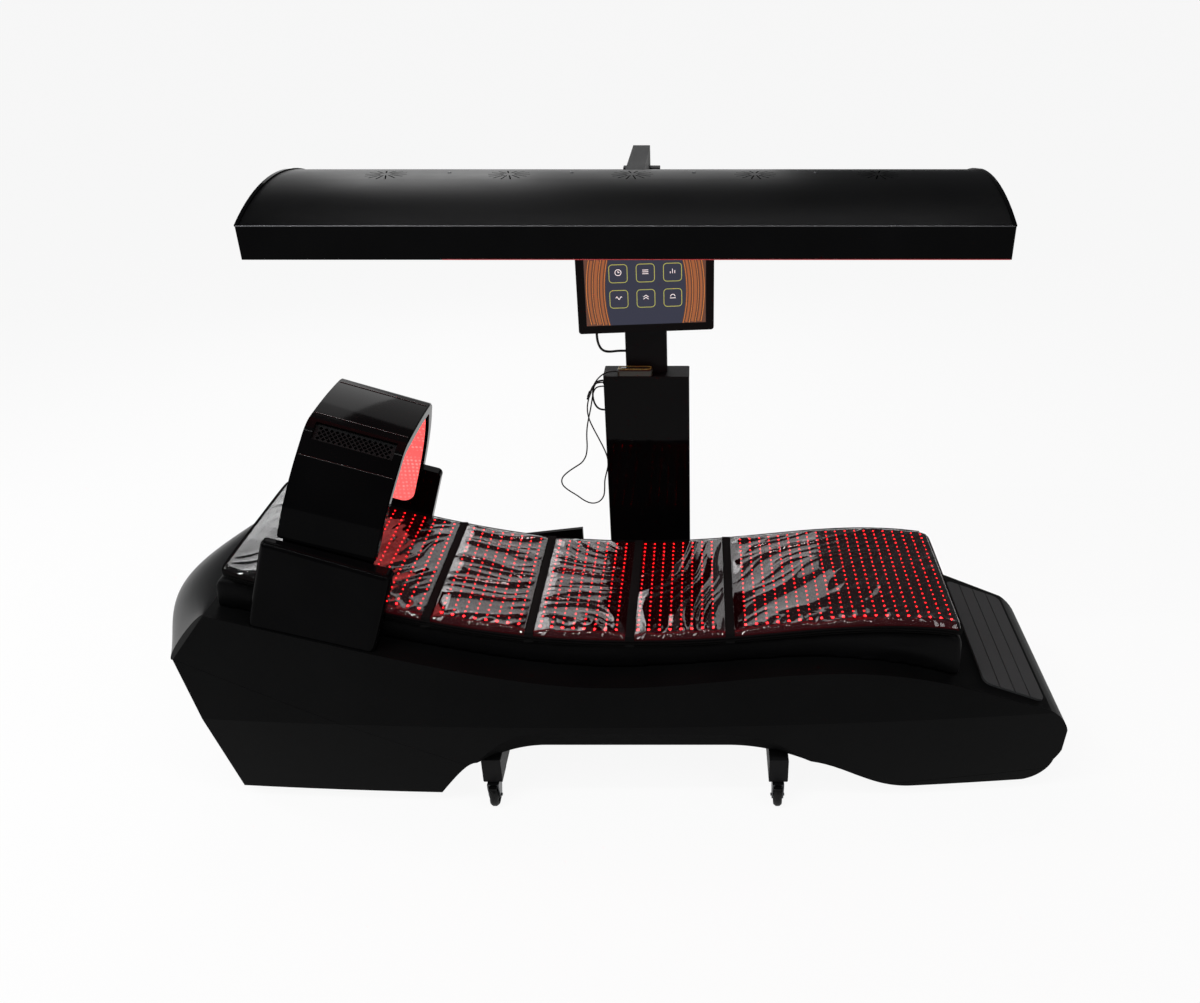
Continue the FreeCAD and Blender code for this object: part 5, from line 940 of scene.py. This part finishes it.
def make_display():
    navy = lit_colour("navy", (0.003, 0.004, 0.014), 0.15, (0.006, 0.008, 0.028))
    brown = lit_colour("brown", (0.05, 0.015, 0.004), 0.2, (0.075, 0.022, 0.006))
    orange = lit_colour("orange", (0.4, 0.13, 0.01), 0.2, (0.5, 0.17, 0.025))
    amber = lit_colour("amber", (0.2, 0.06, 0.01), 0.2, (0.22, 0.068, 0.012))
    lime = lit_colour("lime", (0.3, 0.35, 0.08), 0.2, (0.3, 0.34, 0.07))
    white = lit_colour("white", (0.7, 0.7, 0.7), 0.2, (0.8, 0.8, 0.8))
    corners = rectangle(-DISPLAY_X, DISPLAY_X, -DISPLAY_Z, DISPLAY_Z)
    flat_piece("display_back", [corners], 3, navy)
    fans, arcs, glows = [], [], []
    for side in (-1, 1):
        fans.append(clipped_fan(side, ARC_OFFSET + FAN_EDGE))
        for step, width in enumerate(ARC_WIDTHS):
            line = side_arc(side, ARC_OFFSET + FIRST_ARC + ARC_PITCH * step)
            line = [(x, z) for x, z in line if abs(x) < DISPLAY_X and abs(z) < DISPLAY_Z]
            (glows if width > WIDE_ARC else arcs).extend(band(line, width))
    flat_piece("display_sides", fans, 4, brown)
    flat_piece("display_glow", glows, 5, amber)
    flat_piece("display_arcs", arcs, 6, orange)
    plates, rings, icons = [], [], []
    for index in range(BUTTONS_IN_ROW * BUTTON_ROWS):
        row, place = divmod(index, BUTTONS_IN_ROW)
        x, z = (place - 1) * BUTTON_PITCH_X, BUTTON_TOP_Z - BUTTON_PITCH_Z * row
        ring = rounded_ring(x, z, BUTTON_HALF, BUTTON_CORNER)
        plates.append(ring[:-1])
        rings.extend(band(ring, BUTTON_LINE))
        for line in icon_lines(index, x, z + ICON_RISE):
            icons.extend(band(line, ICON_LINE))
    flat_piece("display_plates", plates, 7, navy)
    flat_piece("display_buttons", rings, 8, lime)
    flat_piece("display_icons", icons, 9, white)


def side_arc(side, radius):
    """A shallow arc at one end of the display, bowed outward."""
    middle = 0 if side > 0 else 180
    return arc_points(-side * ARC_OFFSET, 0.0, radius, middle - ARC_SPREAD, middle + ARC_SPREAD, ARC_STEPS)


def clipped_fan(side, radius):
    """One end of the display: its own corners, and an arc towards its middle."""
    rim = [(x, z) for x, z in side_arc(side, radius) if abs(z) < DISPLAY_Z]
    corner = math.copysign(DISPLAY_Z, rim[-1][1])
    outer = side * DISPLAY_X
    return [*rim, (rim[-1][0], corner), (outer, corner), (outer, -corner), (rim[0][0], -corner)]


# Hood

HOOD_TURN = Matrix.Rotation(math.radians(17.5), 4, "Y")
HOOD_BASE = Vector((-0.750, AXIS_Y, 0.569))
LINER_CENTRE = 0.25
LINER_EDGE_NORMAL = 0.5

# Beads: where they start along the hood, their length and radius, and how far they stand off
BEAD_START, BEAD_LENGTH = -0.124, 0.226
BEAD_STEPS = 16
BEAD_RADIUS, BEAD_STAND_OFF = 0.0012, 0.0004
CROWN_HALF, LEDGE_HEIGHT = 0.098, 0.434
OVER_HOOD, BESIDE_HOOD = 0.7, 0.5


def in_hood(x, y, z):
    """A point given along and square to the backrest."""
    return HOOD_BASE + HOOD_TURN @ Vector((x, y, z))


def make_liner():
    """The hood's liner, lit on its inner face and black on its edges and back."""
    mesh = nodes["hood_liner"].data.copy()
    mesh.materials.clear()
    mesh.materials.append(PLASTIC)
    mesh.materials.append(LINER)
    back = HOOD_TURN.inverted()
    for face in mesh.polygons:
        centre = back @ (face.center - HOOD_BASE)
        normal = back @ face.normal
        inward = Vector((0, -centre.y, LINER_CENTRE - centre.z)).dot(normal) > 0
        if inward and abs(normal.x) < LINER_EDGE_NORMAL:
            face.material_index = 1
    piece = add_object("liner_panel", mesh)
    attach(piece, "hood")
    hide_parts("hood_liner")


def make_hood_beads():
    """Fine beads along the hood: at the edge of its crown and under its grilles."""
    shell = tree_of("hood_shell")
    for name in ("crown", "ledge"):
        for side in (-1, 1):
            points = []
            for i in range(BEAD_STEPS + 1):
                x = BEAD_START + BEAD_LENGTH * i / BEAD_STEPS
                if name == "crown":
                    origin, aim = in_hood(x, side * CROWN_HALF, OVER_HOOD), in_hood(x, side * CROWN_HALF, 0)
                else:
                    origin, aim = in_hood(x, side * BESIDE_HOOD, LEDGE_HEIGHT), in_hood(x, 0, LEDGE_HEIGHT)
                inward = (aim - origin).normalized()
                points.append(shell.ray_cast(origin, inward)[0] - BEAD_STAND_OFF * inward)
            bead = add_curve(f"hood_{name}_{side_name(side)}", points, BEAD_RADIUS, BEAD)
            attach(bead, "hood")


# Small details

CANOPY_X = 0.061
SCREW_COUNT, SCREW_PITCH = 4, 0.277
SCREW_Y = AXIS_Y + 0.02
SCREW_SIDES = 14

# Radius and height of each ring of points on a screw head
SCREW_RINGS = ((0.0045, -0.0003), (0.0045, 0.0006), (0.0032, 0.0013))

# The bead on the canopy's front edge is a painted highlight; the leak line glows under its apron
SEAM_HIGHLIGHT_RADIUS, SEAM_HIGHLIGHT_RISE, CANOPY_LINE_INSET = 0.0014, 0.001, 0.004
LEAK_RADIUS, LEAK_RISE, LEAK_START = 0.001, 0.0006, 0.42
CANOPY_LINE_SINK = 0.0004
CANOPY_LINE_STEPS = 4

# Handset: its yellow ring, and where its window and keys start and end along it
RING_INSET, RING_RADIUS = 0.004, 0.0014
RING_SHARES = (0.1, 0.5, 0.9)
WINDOW_SPAN = (0.012, 0.04)
KEY_SPANS = {"key_a": (0.046, 0.056), "key_b": (0.06, 0.07), "key_c": (0.074, 0.084)}
KEY_HALF = 0.006

# Inset and height of each ring of points on a key
KEY_RINGS = ((0, -0.0004), (0, 0.0008), (0.001, 0.0014))


def make_canopy_screws():
    """Low screw heads between the vents on the canopy's cover."""
    verts, faces = [], []
    cover = tree_of("canopy_cover")
    levels = len(SCREW_RINGS) - 1
    for index in range(SCREW_COUNT):
        x = CANOPY_X + (index - (SCREW_COUNT - 1) / 2) * SCREW_PITCH
        top = cover.ray_cast(Vector((x, SCREW_Y, ABOVE_ALL)), DOWN)[0].z
        start = len(verts)
        for radius, height in SCREW_RINGS:
            verts.extend(circle(x, SCREW_Y, top + height, radius, SCREW_SIDES))
        faces.extend(ring_walls(start, SCREW_SIDES, levels))
        faces.append(tuple(start + levels * SCREW_SIDES + k for k in range(SCREW_SIDES)))
    add_mesh("canopy_screws", verts, faces, STEEL, "lift")


def make_canopy_highlight_and_leak():
    """A lighter grey bead on the canopy's front edge as a painted highlight, and light leaking under its
    apron.
    """
    low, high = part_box("canopy_frame")
    leak = surface("canopy_leak", (0.2, 0.005, 0.005), 0.4, glow=(0.16, 0.002, 0.006), glow_strength=1)
    end = high[0] - CANOPY_LINE_INSET
    for name, z, start, radius, material in (
            ("canopy_seam_highlight_bead", high[2] + SEAM_HIGHLIGHT_RISE, low[0] + CANOPY_LINE_INSET, SEAM_HIGHLIGHT_RADIUS, SEAM_HIGHLIGHT),
            ("canopy_leak_line", low[2] + LEAK_RISE, low[0] + LEAK_START, LEAK_RADIUS, leak)):
        places = [start + (end - start) * i / CANOPY_LINE_STEPS for i in range(CANOPY_LINE_STEPS + 1)]
        bead = add_curve(name, [(x, low[1] + CANOPY_LINE_SINK, z) for x in places], radius, material)
        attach(bead, "lift")


def make_handset_face():
    """A ring round the top of the handset, and its window and keys."""
    low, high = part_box("handset")
    top = high[2]
    middle = (low[1] + high[1]) / 2
    window = surface("handset_window", (0.02, 0.03, 0.02), 0.1, coat=0.4)
    key = surface("handset_key", (0.02, 0.02, 0.02), 0.5, grain=0.2)
    rim = rectangle(low[0] + RING_INSET, high[0] - RING_INSET, low[1] + RING_INSET, high[1] - RING_INSET)
    loop = []
    for (x1, y1), (x2, y2) in zip(rim, rim[1:] + rim[:1]):
        loop += [(x1 + (x2 - x1) * share, y1 + (y2 - y1) * share, top) for share in RING_SHARES]
    ring = add_curve("handset_ring", loop, RING_RADIUS, YELLOW, cyclic=True)
    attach(ring, "base")
    for name, (start, end) in {"window": WINDOW_SPAN, **KEY_SPANS}.items():
        verts = []
        for inset, height in KEY_RINGS:
            outline = rectangle(low[0] + start + inset, low[0] + end - inset,
                                middle - KEY_HALF + inset, middle + KEY_HALF - inset)
            verts.extend((x, y, top + height) for x, y in outline)
        corners, levels = 4, len(KEY_RINGS) - 1
        faces = ring_walls(0, corners, levels)
        faces.append(tuple(range(levels * corners, len(verts))))
        material = window if name == "window" else key
        add_mesh(f"handset_{name}", verts, faces, material, "base", smooth=False)


make_camera()
make_leads()
make_light()
make_floor()
roughen_underside(SATIN)
dot_lamps(LINER, between=(0.95, 0.11, 0.105), centre=(1.0, 0.3, 0.28))
finish_nodes()
make_cushion()
make_mat()
make_straps()
make_display()
make_liner()
make_hood_beads()
make_canopy_screws()
make_canopy_highlight_and_leak()
make_handset_face()

bpy.context.view_layer.update()
